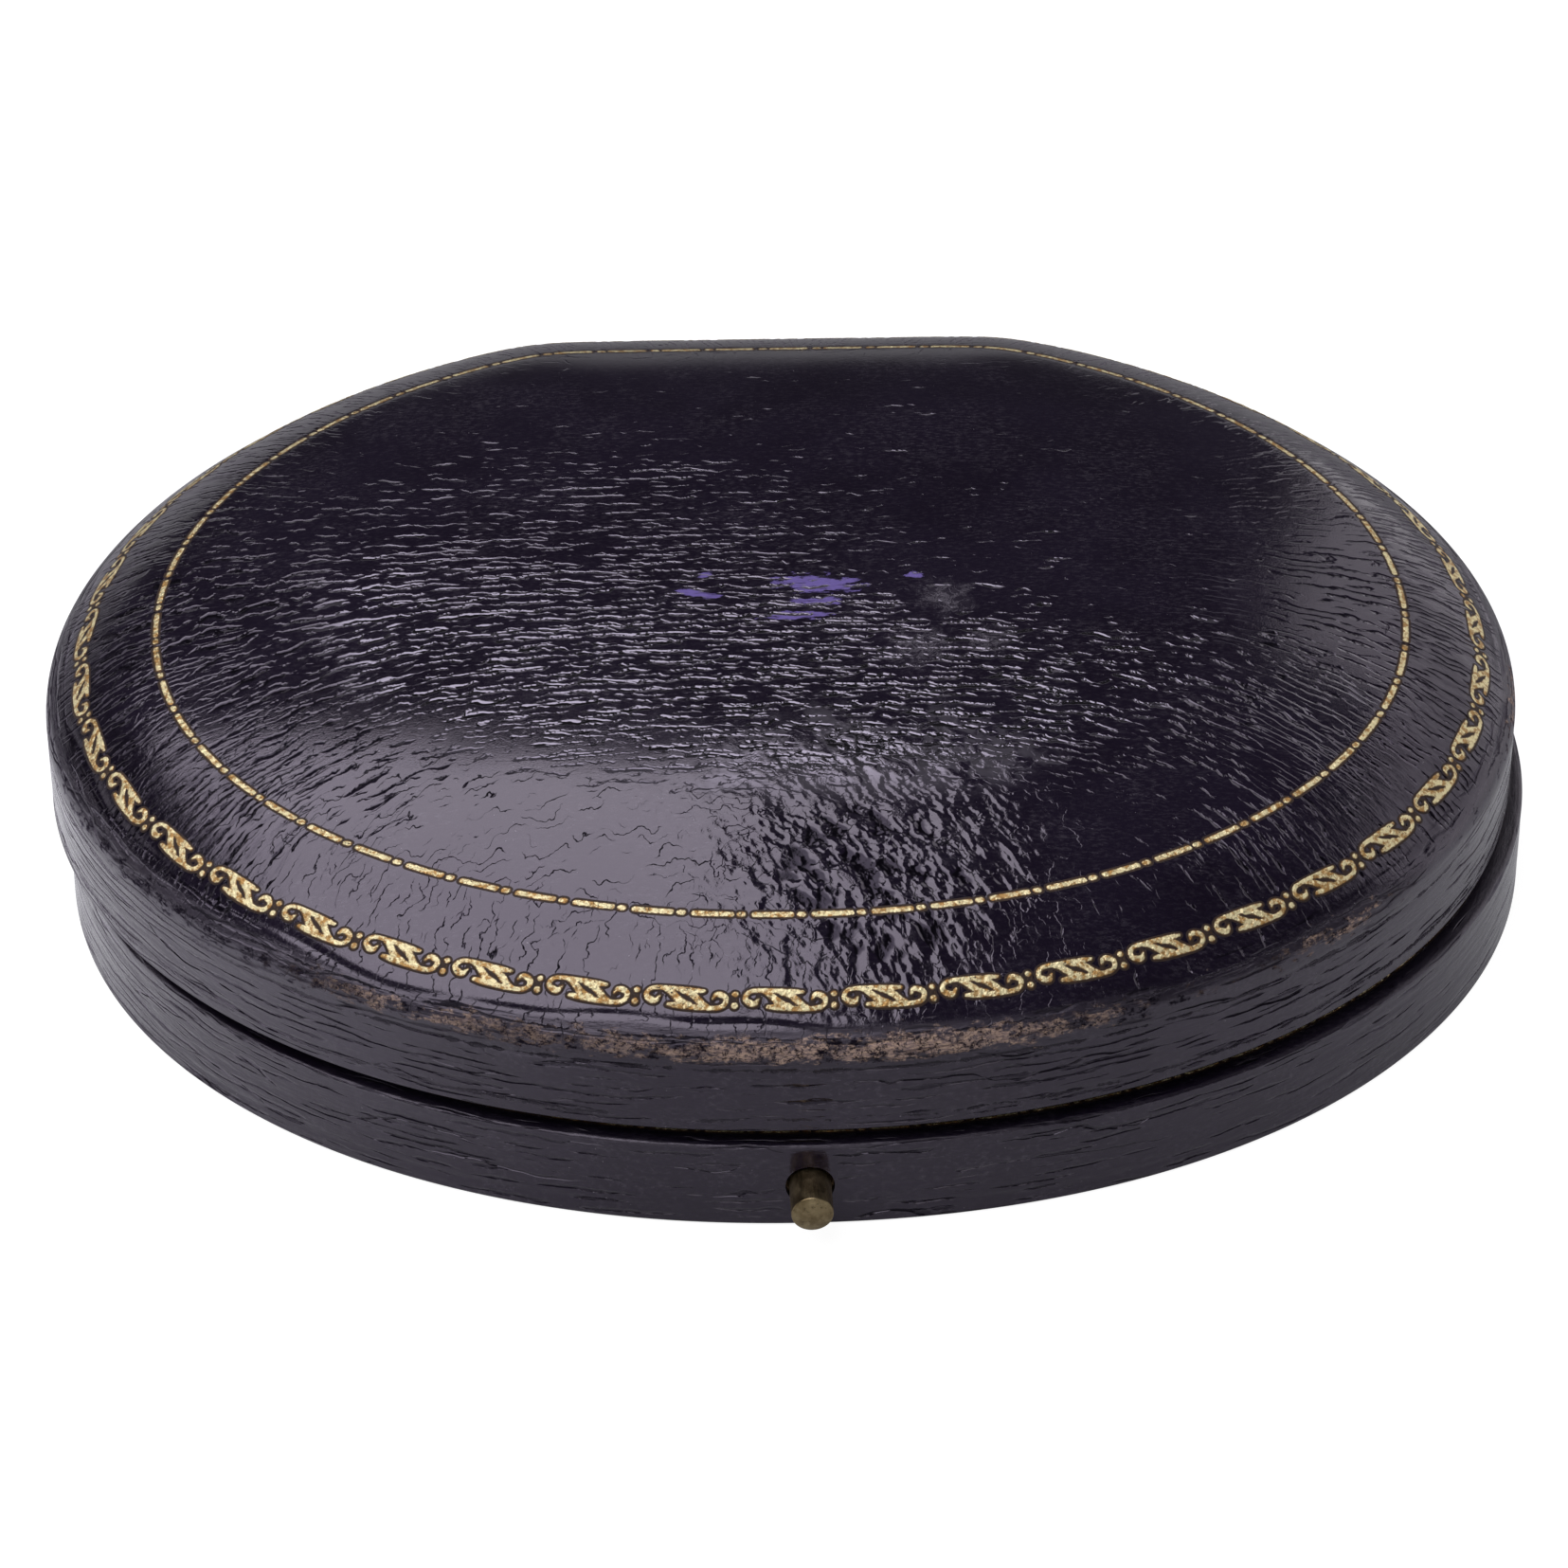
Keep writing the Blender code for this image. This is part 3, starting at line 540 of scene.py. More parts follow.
def lid_leather_finish():
    """Straight-grained leather of the lid.

    Over the dome the creases run from side to side and bend down towards the edges.  In the
    band outside the dash line they run across it, and on the walls they follow the rim.
    """
    material, wires, shader = finish("morocco_lid")
    arc, walk, _ = wires.split(wires.map("skin"))
    # Zone of painted glints; outside it the dome's creases take painted shade
    painted_glint_zone = wires.mark("painted_glint_zone")
    dents, painted_crease_shade = lid_grain(wires, arc, walk, wires.times(wires.less(1.0, painted_glint_zone), 0.75))
    x, y, _ = wires.split(wires.place())
    ragged = wires.times(wires.swing(wires.place((0.7, 1.9, 1.0)), 1.2, 4.0, 0.6), 2.2)
    violet = wires.smooth(wires.add(patches(wires, x, y, violet_patches), ragged), 0.18, 0.42)
    streak = wires.noise(wires.place((0.5, 3.2, 1.0)), 1.6, 4.0, 0.65)
    violet = wires.times(violet, wires.smooth(dents, 0.05, 0.005, 0.25, 1.0),
                         wires.smooth(streak, 0.34, 0.5, 0.3, 1.0))
    cloudy = wires.times(wires.swing(wires.place(), 0.8, 5.0, 0.7), 2.2)
    residue = wires.smooth(wires.add(patches(wires, x, y, residue_patches), cloudy), 0.1, 0.9)
    fibres = wires.maths("ABSOLUTE", wires.swing(wires.place(), 1.3, 5.0, 0.7, 0.8))
    residue = wires.times(residue, wires.smooth(fibres, 0.0, 0.05, 0.8, 0.16))
    wear = wires.mark("wear")
    bite = wires.swing(wires.join(arc, wires.times(walk, 1.9)), 0.9, 6.0, 0.7)
    worn = wires.smooth(wires.add(wear, wires.times(bite, 2.4)), 0.44, 0.7)
    patchy = wires.noise(wires.join(arc, wires.times(walk, 1.5), 8.0), 0.45, 6.0, 0.7)
    stipple = wires.noise(wires.join(arc, walk, 3.0), 4.5, 4.0, 0.75)
    tan = wires.times(wires.smooth(wires.add(patchy, wires.times(wear, 0.1)), 0.5, 0.6),
                      wires.smooth(stipple, 0.4, 0.54, 0.05, 1.0), wires.mark("tan"), worn)
    leather_surface(wires, shader, dents, worn, tan, painted_glint_zone, painted_crease_shade, violet, residue)
    return material


# Kinds of creases in the leather, in millimetres
long_kind = {"spacing": 0.95, "length": 2.0, "wander": 0.35, "lean": 1.6, "slope": 0.36, "seed": 1.0}
short_kind = {"spacing": 0.62, "length": 1.1, "wander": 0.5, "lean": 1.3, "slope": 0.36, "seed": 13.0}
fine_kind = {"spacing": 0.45, "length": 2.2, "wander": 0.5, "width": 0.1, "lean": 1.0, "slope": 0.6,
             "breaks": 0.38, "seed": 17.0}
edge_kind = {"spacing": 0.55, "length": 2.0, "wander": 0.6, "width": 0.13, "lean": 1.1, "slope": 0.7,
             "seed": 5.0}
dome_crack_kind = {"spacing": 1.0, "length": 1.6, "wander": 1.1, "width": 0.055, "lean": 1.0,
                   "slope": 0.8, "breaks": 0.46, "seed": 21.0}
edge_crack_kind = dict(dome_crack_kind, spacing=0.7, length=1.3, wander=0.9, seed=25.0)
wrinkle_kind = {"spacing": 1.15, "length": 1.9, "wander": 1.7, "width": 0.1, "lean": 1.2, "slope": 0.6,
                "breaks": 0.48}
wall_fine_kind = {"spacing": 0.62, "length": 4.5, "wander": 0.5, "width": 0.15, "lean": 0.9, "slope": 0.5}
wall_deep_kind = {"spacing": 1.8, "length": 8.0, "wander": 0.6, "width": 0.14, "lean": 0.6, "slope": 0.9}

# Scuffs and residue on the lid's top, as (middle x, middle y, half length, half width, lean)
violet_patches = (
    (1.6, -0.3, 3.5, 1.15, -0.16), (1.2, -2.15, 1.9, 0.6, -0.02), (-0.1, -3.55, 2.8, 0.6, 0.0),
    (-6.3, -0.9, 1.7, 0.5, -0.3), (-5.9, 1.0, 0.8, 0.35, 0.2), (7.6, 0.5, 0.6, 0.5, 0.0),
)
residue_patches = ((9.3, -2.0, 2.7, 2.8, 0.0), (7.6, -7.2, 3.4, 2.9, 0.0), (12.0, -6.5, 2.2, 2.0, 0.0))


def wall_grain(wires, arc, walk, sparse, seed):
    """Creases that follow a wall: many fine ones, and a few long deep ones between them."""
    return wires.add(*[wires.use(creases, along=arc, across=walk, breaks=wires.add(sparse, more),
                                 seed=seed + shift, **kind)
                       for kind, more, shift in ((wall_fine_kind, -0.03, 0.0), (wall_deep_kind, 0.02, 3.0))])


def base_leather_finish():
    """Leather of the base: creases that follow its walls, and a smoother ledge and underside."""
    material, wires, shader = finish("morocco_base")
    arc, walk, _ = wires.split(wires.map("skin"))
    x, _, z = wires.split(wires.place())
    rubbed = patches(wires, x, z, ((button_side, button_height + 1.6, 2.4, 2.2, 0.0),))
    strength = wires.times(wires.mark("grain"), wires.smooth(rubbed, 0.0, 0.6, 1.0, 0.25))
    dents = wires.add(wall_grain(wires, arc, walk, wires.mix(strength, 0.71, 0.40), 33.0),
                      wandering_crease(wires, arc, walk, 1.1, 0.7, 0.2, 0.9, 61.0),
                      wandering_crease(wires, arc, walk, 5.4, 0.8, 0.15, 0.9, 71.0))
    # Painted shade in the wall creases
    painted_crease_shade = wires.smooth(dents, 0.01, 0.06, 0.0, 0.5)
    dents = wires.add(dents, wires.times(ripples(wires, arc, walk, 0.6, 0.12, 87.0), strength))
    wear = wires.mark("wear")
    bite = wires.swing(wires.join(arc, wires.times(walk, 1.9)), 0.9, 5.0, 0.65)
    worn = wires.smooth(wires.add(wear, wires.times(bite, 1.7)), 0.5, 0.8)
    tan = wires.smooth(wires.add(wear, wires.times(bite, 2.4)), 1.05, 1.3)
    leather_surface(wires, shader, dents, worn, tan, 0.0, painted_crease_shade)
    return material


def gilt_finish():
    """Gold leaf pressed into the leather, rubbed through to its dark bed in small flakes."""
    material, wires, shader = finish("gilt")
    place = wires.place()
    cloud = wires.noise(place, 0.5, 3.0)
    fleck = wires.add(wires.noise(place, 6.5, 4.0, 0.65), wires.times(wires.add(cloud, -0.5), 0.35))
    lost = wires.smooth(fleck, 0.63, 0.7)
    gold = wires.tint(wires.smooth(wires.noise(place, 2.4, 5.0, 0.65), 0.4, 0.56), gold_deep, gold_bright)
    # Darker brown towards each stroke's edge, a painted shade of the pressed edge, and in cloudy worn patches
    edge_shade_and_wear = wires.add(wires.mark("rim"), wires.times(wires.swing(place, 3.5, 3.0), 1.6))
    gold = wires.tint(wires.smooth(edge_shade_and_wear, 0.36, 0.8, 0.0, 0.92), gold, gold_edge_shade_and_wear)
    set_shader(wires, shader, base_color=wires.tint(lost, gold, gold_bed),
               metallic=wires.mix(lost, 0.86, 0.0),
               roughness=wires.mix(lost, wires.mix(cloud, 0.28, 0.46), 0.6))
    bump(wires, shader, wires.add(wires.noise(place, 3.2, 4.0, 0.6), wires.times(lost, -0.15)), 0.2)
    return material


gold_deep = (0.5, 0.29, 0.1, 1.0)
gold_bright = (1.0, 0.89, 0.53, 1.0)
# Dark brown of the gold's painted edge shade and of its worn patches
gold_edge_shade_and_wear = (0.13, 0.06, 0.025, 1.0)
gold_bed = (0.035, 0.02, 0.012, 1.0)


def shade_sheet_finish():
    """Dark sheet under the gold's edge: painted shade of the walls of the groove that the gold is pressed
    into.
    """
    material, wires, shader = finish("gilt_shade_sheet")
    place = wires.place()
    colour = wires.tint(wires.noise(place, 2.0, 3.0), (0.01, 0.0055, 0.005, 1.0), (0.045, 0.022, 0.012, 1.0))
    set_shader(wires, shader, base_color=colour, roughness=0.62, specular_ior_level=0.35)
    bump(wires, shader, wires.noise(place, 5.0, 3.0), 0.05)
    return material


def mesh_piece(name, points, faces, materials, maps=None, marks=None, sharp=40.0):
    """Object from points in millimetres, with its faces turned outwards and shaded smooth.

    maps holds one (u, v) for each corner of each face in turn, marks one value for each point.
    """
    points = np.asarray(points, dtype=float)
    faces = [np.asarray(group) for group in faces]
    maps = {key: [np.asarray(part) for part in value] for key, value in (maps or {}).items()}
    volume = 0.0
    for group in faces:
        for corner in range(1, group.shape[1] - 1):
            first, second, third = (points[group[:, k]] for k in (0, corner, corner + 1))
            volume += np.einsum("ij,ij->", first, np.cross(second, third))
    if volume < 0.0:
        faces = [group[:, ::-1] for group in faces]
        maps = {key: [part[:, ::-1] for part in value] for key, value in maps.items()}
    mesh = bpy.data.meshes.new(name)
    mesh.from_pydata((points * mm).tolist(), [], [face for group in faces for face in group.tolist()])
    for key, value in maps.items():
        corners = np.concatenate([part.reshape(-1, 2) for part in value])
        mesh.uv_layers.new(name=key).data.foreach_set("uv", corners.ravel())
    for key, value in (marks or {}).items():
        layer = mesh.attributes.new(key, "FLOAT", "POINT")
        layer.data.foreach_set("value", np.broadcast_to(value, len(points)).astype(float).ravel())
    mesh.shade_smooth()
    mesh.set_sharp_from_angle(angle=math.radians(sharp))
    for material in materials:
        mesh.materials.append(material)
    piece = bpy.data.objects.new(name, mesh)
    bpy.context.scene.collection.objects.link(piece)
    return piece


def ring_faces(count, around, closed):
    """Quads between neighbouring loops of a grid, as (row, column) corners that don't wrap."""
    rows = np.arange(count if closed else count - 1)[:, None]
    columns = np.arange(around)[None, :]
    row = np.stack(np.broadcast_arrays(rows, rows, rows + 1, rows + 1), axis=-1) + 0 * columns[..., None]
    column = np.stack([columns, columns + 1, columns + 1, columns], axis=-1) + 0 * rows[..., None]
    return row.reshape(-1, 4), column.reshape(-1, 4)


def loop_piece(name, rows, materials, poles=None, maps=None, marks=None, sharp=40.0):
    """Closed piece through loops of points: round on itself, or with a pole at each end.

    rows is (loop, turn, xyz).  maps are (loop, turn + 1, uv), and their last column closes the seam.
    """
    count, around = rows.shape[:2]
    row, column = ring_faces(count, around, poles is None)
    faces = [(row % count) * around + column % around]
    corners = {key: [value[row % count, column]] for key, value in (maps or {}).items()}
    points = rows.reshape(-1, 3)
    spread = {key: np.broadcast_to(value, (count, around)).ravel() for key, value in (marks or {}).items()}
    if poles is not None:
        points = np.concatenate([points, np.asarray(poles, dtype=float)])
        here = np.arange(around)
        for pole, loop in ((0, 0), (1, count - 1)):
            first, second = (here, here + 1) if pole else (here + 1, here)
            tip = np.full(around, count * around + pole)
            faces.append(np.stack([loop * around + first % around, loop * around + second % around, tip], 1))
            for key, value in (maps or {}).items():
                corners[key].append(np.stack([value[loop, first], value[loop, second], value[loop, here]], 1))
        spread = {key: np.concatenate([value, value[:1], value[-1:]]) for key, value in spread.items()}
    return mesh_piece(name, points, faces, materials, corners, spread, sharp)


def cut(piece, cutters):
    """Cuts a piece with closed cutters, and puts the result into its mesh."""
    for cutter in cutters:
        step = piece.modifiers.new("Cut", "BOOLEAN")
        step.solver = "EXACT"
        step.object = cutter
    result = bpy.data.meshes.new_from_object(piece.evaluated_get(bpy.context.evaluated_depsgraph_get()))
    piece.modifiers.clear()
    piece.data = result
    result.set_sharp_from_angle(angle=math.radians(40.0))
    for cutter in cutters:
        bpy.data.objects.remove(cutter)
    return piece


def block_cutter(low, high):
    """Box between two corners, in millimetres."""
    shape = bmesh.new()
    bmesh.ops.create_cube(shape, size=1.0)
    low, high = Vector(low) * mm, Vector(high) * mm
    bmesh.ops.scale(shape, verts=shape.verts, vec=high - low)
    bmesh.ops.translate(shape, verts=shape.verts, vec=(high + low) / 2.0)
    return cutter_from(shape)


def rod_cutter(start, direction, length, radius, sides=48):
    """Rod from a start along a direction, in millimetres."""
    shape = bmesh.new()
    aim = Vector(direction).to_track_quat("Z", "Y").to_matrix().to_4x4()
    aim.translation = (Vector(start) + Vector(direction) * length / 2.0) * mm
    bmesh.ops.create_cone(shape, cap_ends=True, segments=sides, radius1=radius * mm, radius2=radius * mm,
                          depth=length * mm, matrix=aim)
    return cutter_from(shape)


def cutter_from(shape):
    mesh = bpy.data.meshes.new("cutter")
    shape.to_mesh(mesh)
    shape.free()
    cutter = bpy.data.objects.new("cutter", mesh)
    bpy.context.scene.collection.objects.link(cutter)
    cutter.hide_render = True
    return cutter


def level_loop(inset, height, turn):
    x, y = oval(inset, turn)
    return np.stack([x, y, np.full_like(x, height)], axis=-1)


def wall_loops(inset, heights, turn, seed):
    """Loops of a wall, pressed in along a few long creases that wander and fade as they go round."""
    loops = []
    for height in heights:
        x, y = oval(inset, turn)
        z = np.full_like(x, height)
        press = unevenness(x, y, z * 3.0, seed, 9.0, wall_lumps)
        for share, depth in wall_creases:
            level = heights[0] + (heights[-1] - heights[0]) * share
            level = level + unevenness(x, y, 0.0 * x, seed + 5, 14.0, 0.9)
            fade = 0.55 + unevenness(x, y, 0.0 * x + 40.0 * share, seed + 9, 11.0, 1.8)
            near = np.exp(-((height - level) / wall_crease_width) ** 2)
            press = press - depth * np.clip(fade, 0.0, 1.0) * near
        reach = np.hypot(x, y)
        press = np.minimum(press - 0.3 * wall_lumps, -skin_gap)
        x, y = x * (1.0 + press / reach), y * (1.0 + press / reach)
        loops.append(np.stack([x, y, z], axis=-1))
    return loops


def even_turns(inset, count):
    """Turns at equal steps round the outline, and the arc length at each of them and at the seam."""
    turns, walked, whole = arc_table(inset)
    arc = np.linspace(-whole / 2.0, whole / 2.0, count + 1)
    return np.interp(np.mod(arc[:-1], whole), walked, turns), arc


def quarter_round(inset, level, up, turn, shares):
    """Loops of a rounded corner of the leather, from the wall at share 0 to the level at share 1."""
    return [level_loop(inset + rim_round * (1.0 - math.cos(quarter)),
                       level + up * rim_round * (1.0 - math.sin(quarter)), turn)
            for quarter in shares * math.pi / 2.0]


def skin_maps(rows, arc, start_row):
    """Skin map: arc length round the case, and length walked down its profile from one loop."""
    middle = rows[:, ::rows.shape[1] // 24]
    steps = np.linalg.norm(np.diff(middle, axis=0), axis=-1).mean(axis=1)
    walked = np.concatenate([[0.0], np.cumsum(steps)])
    walked = walked - walked[start_row]
    return np.stack(np.broadcast_arrays(arc[None, :], walked[:, None]), axis=-1)


def spots(x, y, table):
    """Sum of soft oval spots, each (height, middle x, middle y, half length, half width, power).

    A power of 2 makes a spot fade as a bell, and a power of 4 gives it a flat top.
    """
    return sum(height * np.exp(-((x - middle_x) / half_long) ** power - ((y - middle_y) / half_wide) ** power)
               for height, middle_x, middle_y, half_long, half_wide, power in table)


grain_spots = (
    (0.66, -20.0, -10.0, 25.0, 12.0, 4), (0.55, 1.0, -12.0, 15.0, 9.0, 4), (0.5, 22.0, -13.0, 13.0, 9.0, 4),
    (0.42, -22.0, 8.0, 24.0, 9.0, 4), (0.25, -33.0, -8.0, 9.0, 10.0, 2), (0.3, 3.0, 4.0, 24.0, 12.0, 2),
    (-0.7, -14.0, -30.0, 22.0, 8.0, 2),
)
band_spots = ((0.15, -42.0, -8.0, 14.0, 22.0, 2), (-1.1, -5.0, -36.0, 38.0, 12.0, 2))
wall_spots = ((0.38, -44.0, -12.0, 26.0, 26.0, 2), (0.3, 0.0, 50.0, 60.0, 30.0, 2))
crackle_spots = ((1.1, 5.5, -27.5, 8.0, 8.0, 2),)
crack_spots = (
    (1.2, -20.0, -23.0, 20.0, 7.0, 4), (0.8, -12.0, -34.0, 24.0, 5.0, 2), (0.9, -36.0, -20.0, 8.0, 8.0, 2),
)
wear_spots = (
    (0.62, 2.0, -38.0, 26.0, 12.0, 2), (0.25, 34.0, -26.0, 4.0, 4.0, 2), (0.3, 46.0, -4.0, 3.0, 5.0, 2),
    (0.3, -36.0, -24.0, 16.0, 14.0, 2),
)
tan_spots = (
    (1.0, 4.0, -38.0, 21.0, 10.0, 2), (0.7, -24.0, -33.0, 5.0, 5.0, 2), (1.0, 34.0, -26.0, 4.0, 4.0, 2),
    (1.0, 46.0, -4.0, 3.0, 5.0, 2),
)
fine_spots = ((1.0, 38.0, -4.0, 8.0, 17.0, 2),)


def wall_strength(x, y):
    """Strength of the grain on the walls, strongest on the left and at the rear."""
    return np.clip(0.62 + spots(x, y, wall_spots), 0.0, 1.0)


def lid_loops(turn):
    """Loops of the lid's leather: dome, shoulder, wall, rim, turned-in edge and its inner side.

    Gives the loops and the number of the last one on the shoulder and of the last one on the wall.
    """
    line_foot = line_inset - 0.9
    steps = np.concatenate([
        2.0 - np.linspace(0.01, 0.94, 32), 2.0 - np.linspace(0.95, 1.0, 9)[:-1],
        np.linspace(line_inset, line_foot, 8)[:-1] / line_inset,
        np.linspace(line_foot, 2.0, 20)[:-1] / line_inset,
        np.linspace(2.0, edge_round * 0.748, 18) / line_inset,
    ])
    rows = [lid_top(step, turn) for step in steps]
    lean = math.atan(edge_slope)
    rise, run = edge_round * math.sin(lean), edge_round * math.cos(lean)
    for share in np.linspace(1.0, 0.0, 9)[1:]:
        height = shoulder - edge_round * (1.0 - share) ** 2 + rise * share ** 2
        rows.append(level_loop(skin_gap + run * share ** 2, height, turn))
    shoulder_row = len(rows) - 1
    rows += wall_loops(0.0, np.linspace(shoulder - edge_round - 0.2, rim + rim_round, 36), turn, 17)
    wall_end = len(rows) - 1
    rows += quarter_round(skin_gap, rim, 1.0, turn, np.linspace(0.25, 1.0, 4))
    rows += [level_loop(inset, height, turn) for inset, height in (
        (1.6, rim), (lid_face_inset - rim_round, rim), (lid_face_inset - 0.08, rim + 0.1),
        (lid_face_inset, rim + rim_round), (lid_face_inset, rim + 1.6), (lid_face_inset, turn_in_high - 0.1),
        (lid_face_inset - 0.08, turn_in_high), (turn_in_inset, turn_in_high), (turn_in_inset, rim + leather),
        (leather, rim + leather), (leather, shoulder - 0.45))]
    rows += [lid_top(step, turn) - (0.0, 0.0, leather * 1.2) for step in (0.3, 0.65, 1.0)]
    rows += [lid_top(step, turn) - (0.0, 0.0, leather) for step in (1.3, 1.65, 1.9)]
    return np.array(rows), shoulder_row, wall_end


def lid_marks(rows, shoulder_row, wall_end):
    """Shares that tell the lid's leather where each kind of grain and wear lies, and where the painted glints
    go.
    """
    x, y, z = rows[..., 0], rows[..., 1], rows[..., 2]
    number = np.arange(len(rows))[:, None] + 0 * x
    top = number <= shoulder_row
    inset = np.clip((z - shoulder) / edge_slope, 0.0, None)
    on_wall = smooth_step(inset, 1.5, 0.5)
    bend = smooth_step(inset + unevenness(x, y, z, 41, 5.0, 2.2), 6.6, 3.2)
    grain = 0.12 + spots(x, y, grain_spots)
    band = np.clip(0.85 + spots(x, y, band_spots), 0.0, 1.0)
    grain = np.clip(grain + (band - np.clip(grain, 0.0, 1.0)) * smooth_step(inset, 6.6, 4.8), 0.0, 1.0)
    wall = wall_strength(x, y)
    grain = np.where(top, grain + (wall - grain) * on_wall, wall) * np.where(number > wall_end, 0.25, 1.0)
    crackle = np.clip(spots(x, y, crackle_spots), 0.0, 1.0) * smooth_step(inset, 0.8, 1.8)
    forward = x * x / 150.0 - y
    broad = smooth_step(forward, -6.0, 8.0) * (1.0 - 0.5 * smooth_step(forward, 15.0, 21.0))
    # Zone of painted glints: inside the dash line, away from the glare at the front and from the right side
    painted_glint_zone = smooth_step(forward, 23.0, 17.0) * smooth_step(x, 34.0, 24.0) * smooth_step(inset, 7.0, 7.5)
    below = shoulder - 0.1 - z
    wear = 0.34 + spots(x, y, wear_spots) + unevenness(x, y, 0.0 * z, 27, 9.0, 1.3) * 0.35
    wear = wear * np.exp(-(below / np.where(below < 0.0, 0.8, 1.1)) ** 2)
    wear = wear + 0.35 * np.exp(-((z - rim) / 0.25) ** 2) * (number <= wall_end + 4)
    return {
        "edge_share": np.where(top, bend, 1.0),
        "wall_share": np.where(top, on_wall, 1.0),
        "grain_share": grain,
        "crackle_share": crackle * top,
        "crack_share": np.clip(spots(x, y, crack_spots), 0.0, 1.0) * top,
        "wear_share": wear,
        "tan_share": np.clip(spots(x, y, tan_spots), 0.0, 1.0),
        "fine_share": spots(x, y, fine_spots),
        "broad_share": broad,
        "painted_glint_zone_share": painted_glint_zone * top,
    }


def lid_leather_piece(material):
    """Lid's leather in one closed skin, with a notch for the hinge and a recess for the keeper."""
    turn, arc = even_turns(border_inset, lid_around)
    rows, shoulder_row, wall_end = lid_loops(turn)
    x, y = rows[..., 0], rows[..., 1]
    bend = (np.abs(x) / half_width) ** 4
    close = np.append(np.arange(lid_around), 0)
    dome_map = np.stack([x, (y + 8.0 * bend) / (1.0 + 2.0 * bend)], axis=-1)[:, close]
    crown = lid_top(2.0, 0.0)
    piece = loop_piece("lid_cover", twisted(rows), [material],
                       twisted(np.array([crown, crown - (0.0, 0.0, leather)])),
                       {"dome": dome_map, "skin": skin_maps(rows, arc, shoulder_row)},
                       lid_marks(rows, shoulder_row, wall_end))
    notch = block_cutter((-hinge_half, hinge_neck, hinge_height),
                         (hinge_half, hinge_clear, hinge_height + hinge_swing))
    middle = button_side - (front_reach + rear_flat) * math.sin(lid_twist)
    recess = block_cutter((middle - keeper_half, keeper_back, rim - 0.5),
                          (middle + keeper_half, keeper_front, keeper_high))
    points = np.empty(len(recess.data.vertices) * 3)
    recess.data.vertices.foreach_get("co", points)
    recess.data.vertices.foreach_set("co", (twisted(points.reshape(-1, 3) / mm) * mm).ravel())
    cut(piece, [notch, recess])
    finish_piece(piece, "lid", "lid_leather")


def base_leather_piece(material):
    """Base's leather: wall, ledge with its inner edge, and the edge turned in underneath."""
    turn, arc = even_turns(0.0, base_around)
    rows = quarter_round(0.0, 0.0, 1.0, turn, np.linspace(1.0, 0.25, 4))
    rows += wall_loops(0.0, np.linspace(rim_round, ledge - rim_round, 30), turn, 57)
    rows += quarter_round(0.0, ledge, -1.0, turn, np.linspace(0.25, 1.0, 4))
    ledge_row = len(rows) - 1
    rows += [level_loop(inset, ledge, turn) for inset in (1.0, 1.8, 2.6, 3.4, 4.2, ring_inner_inset)]
    rows += [level_loop(inset, height, turn) for inset, height in (
        (ring_inner_inset, ledge - leather), (leather, ledge - leather), (leather, leather),
        (base_turn_in, leather), (base_turn_in, 0.1), (base_turn_in - 0.1, 0.0), (3.5, 0.0))]
    rows = np.array(rows)
    x, y, z = rows[..., 0], rows[..., 1], rows[..., 2]
    grain = np.where(np.arange(len(rows))[:, None] > ledge_row, 0.3, wall_strength(x, y))
    wear = 0.35 * np.exp(-((z - ledge) / 0.3) ** 2) + 0.45 * np.exp(-(z / 0.25) ** 2)
    wear = wear + unevenness(x, y, z, 71, 9.0, 0.5) * 0.3
    piece = loop_piece("base_cover", rows, [material], None, {"skin": skin_maps(rows, arc, ledge_row)},
                       {"grain_share": grain, "wear_share": wear})
    hole = rod_cutter((button_side, -front_reach - 1.0, button_height), (0, 1, 0), 4.0, button_radius + 0.22)
    catch_low, catch_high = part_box("catch_plate")
    slot = block_cutter((button_side - 1.75, catch_low.y / mm - 0.25, ledge - 1.2),
                        (button_side + 1.75, catch_high.y / mm + 2.0, ledge + 1.0))
    notch = block_cutter((-hinge_half, hinge_neck, hinge_height - hinge_swing - 0.1),
                         (hinge_half, hinge_clear, hinge_height))
    cut(piece, [hole, slot, notch])
    finish_piece(piece, "base", "base_leather")


def stroke_distance(x, y, strokes):
    """Distance to the nearest stroke less its half width there; below 0 is inside a stroke."""
    nearest = np.full(np.broadcast(x, y).shape, 1e9)
    for stroke in strokes:
        line = fine_line(np.array(stroke, dtype=float))
        for (ax, ay, ar), (bx, by, br) in zip(line[:-1], line[1:]):
            dx, dy = bx - ax, by - ay
            share = np.clip(((x - ax) * dx + (y - ay) * dy) / max(dx * dx + dy * dy, 1e-9), 0.0, 1.0)
            gap = np.hypot(x - ax - share * dx, y - ay - share * dy) - (ar + share * (br - ar))
            nearest = np.minimum(nearest, gap)
    return nearest


def fine_line(points):
    """Smooth line through a stroke's points and half widths, by cubic pieces between them."""
    if len(points) < 3:
        return points
    padded = np.concatenate([2 * points[:1] - points[1:2], points, 2 * points[-1:] - points[-2:-1]])
    share = np.linspace(0.0, 1.0, 5)[:-1, None]
    parts = []
    for a, b, c, d in zip(padded[:-3], padded[1:-2], padded[2:-1], padded[3:]):
        bow = 2 * a - 5 * b + 4 * c - d + share * (3 * (b - c) + d - a)
        parts.append(b + 0.5 * share * (c - a + share * bow))
    return np.concatenate(parts + [points[-1:]])


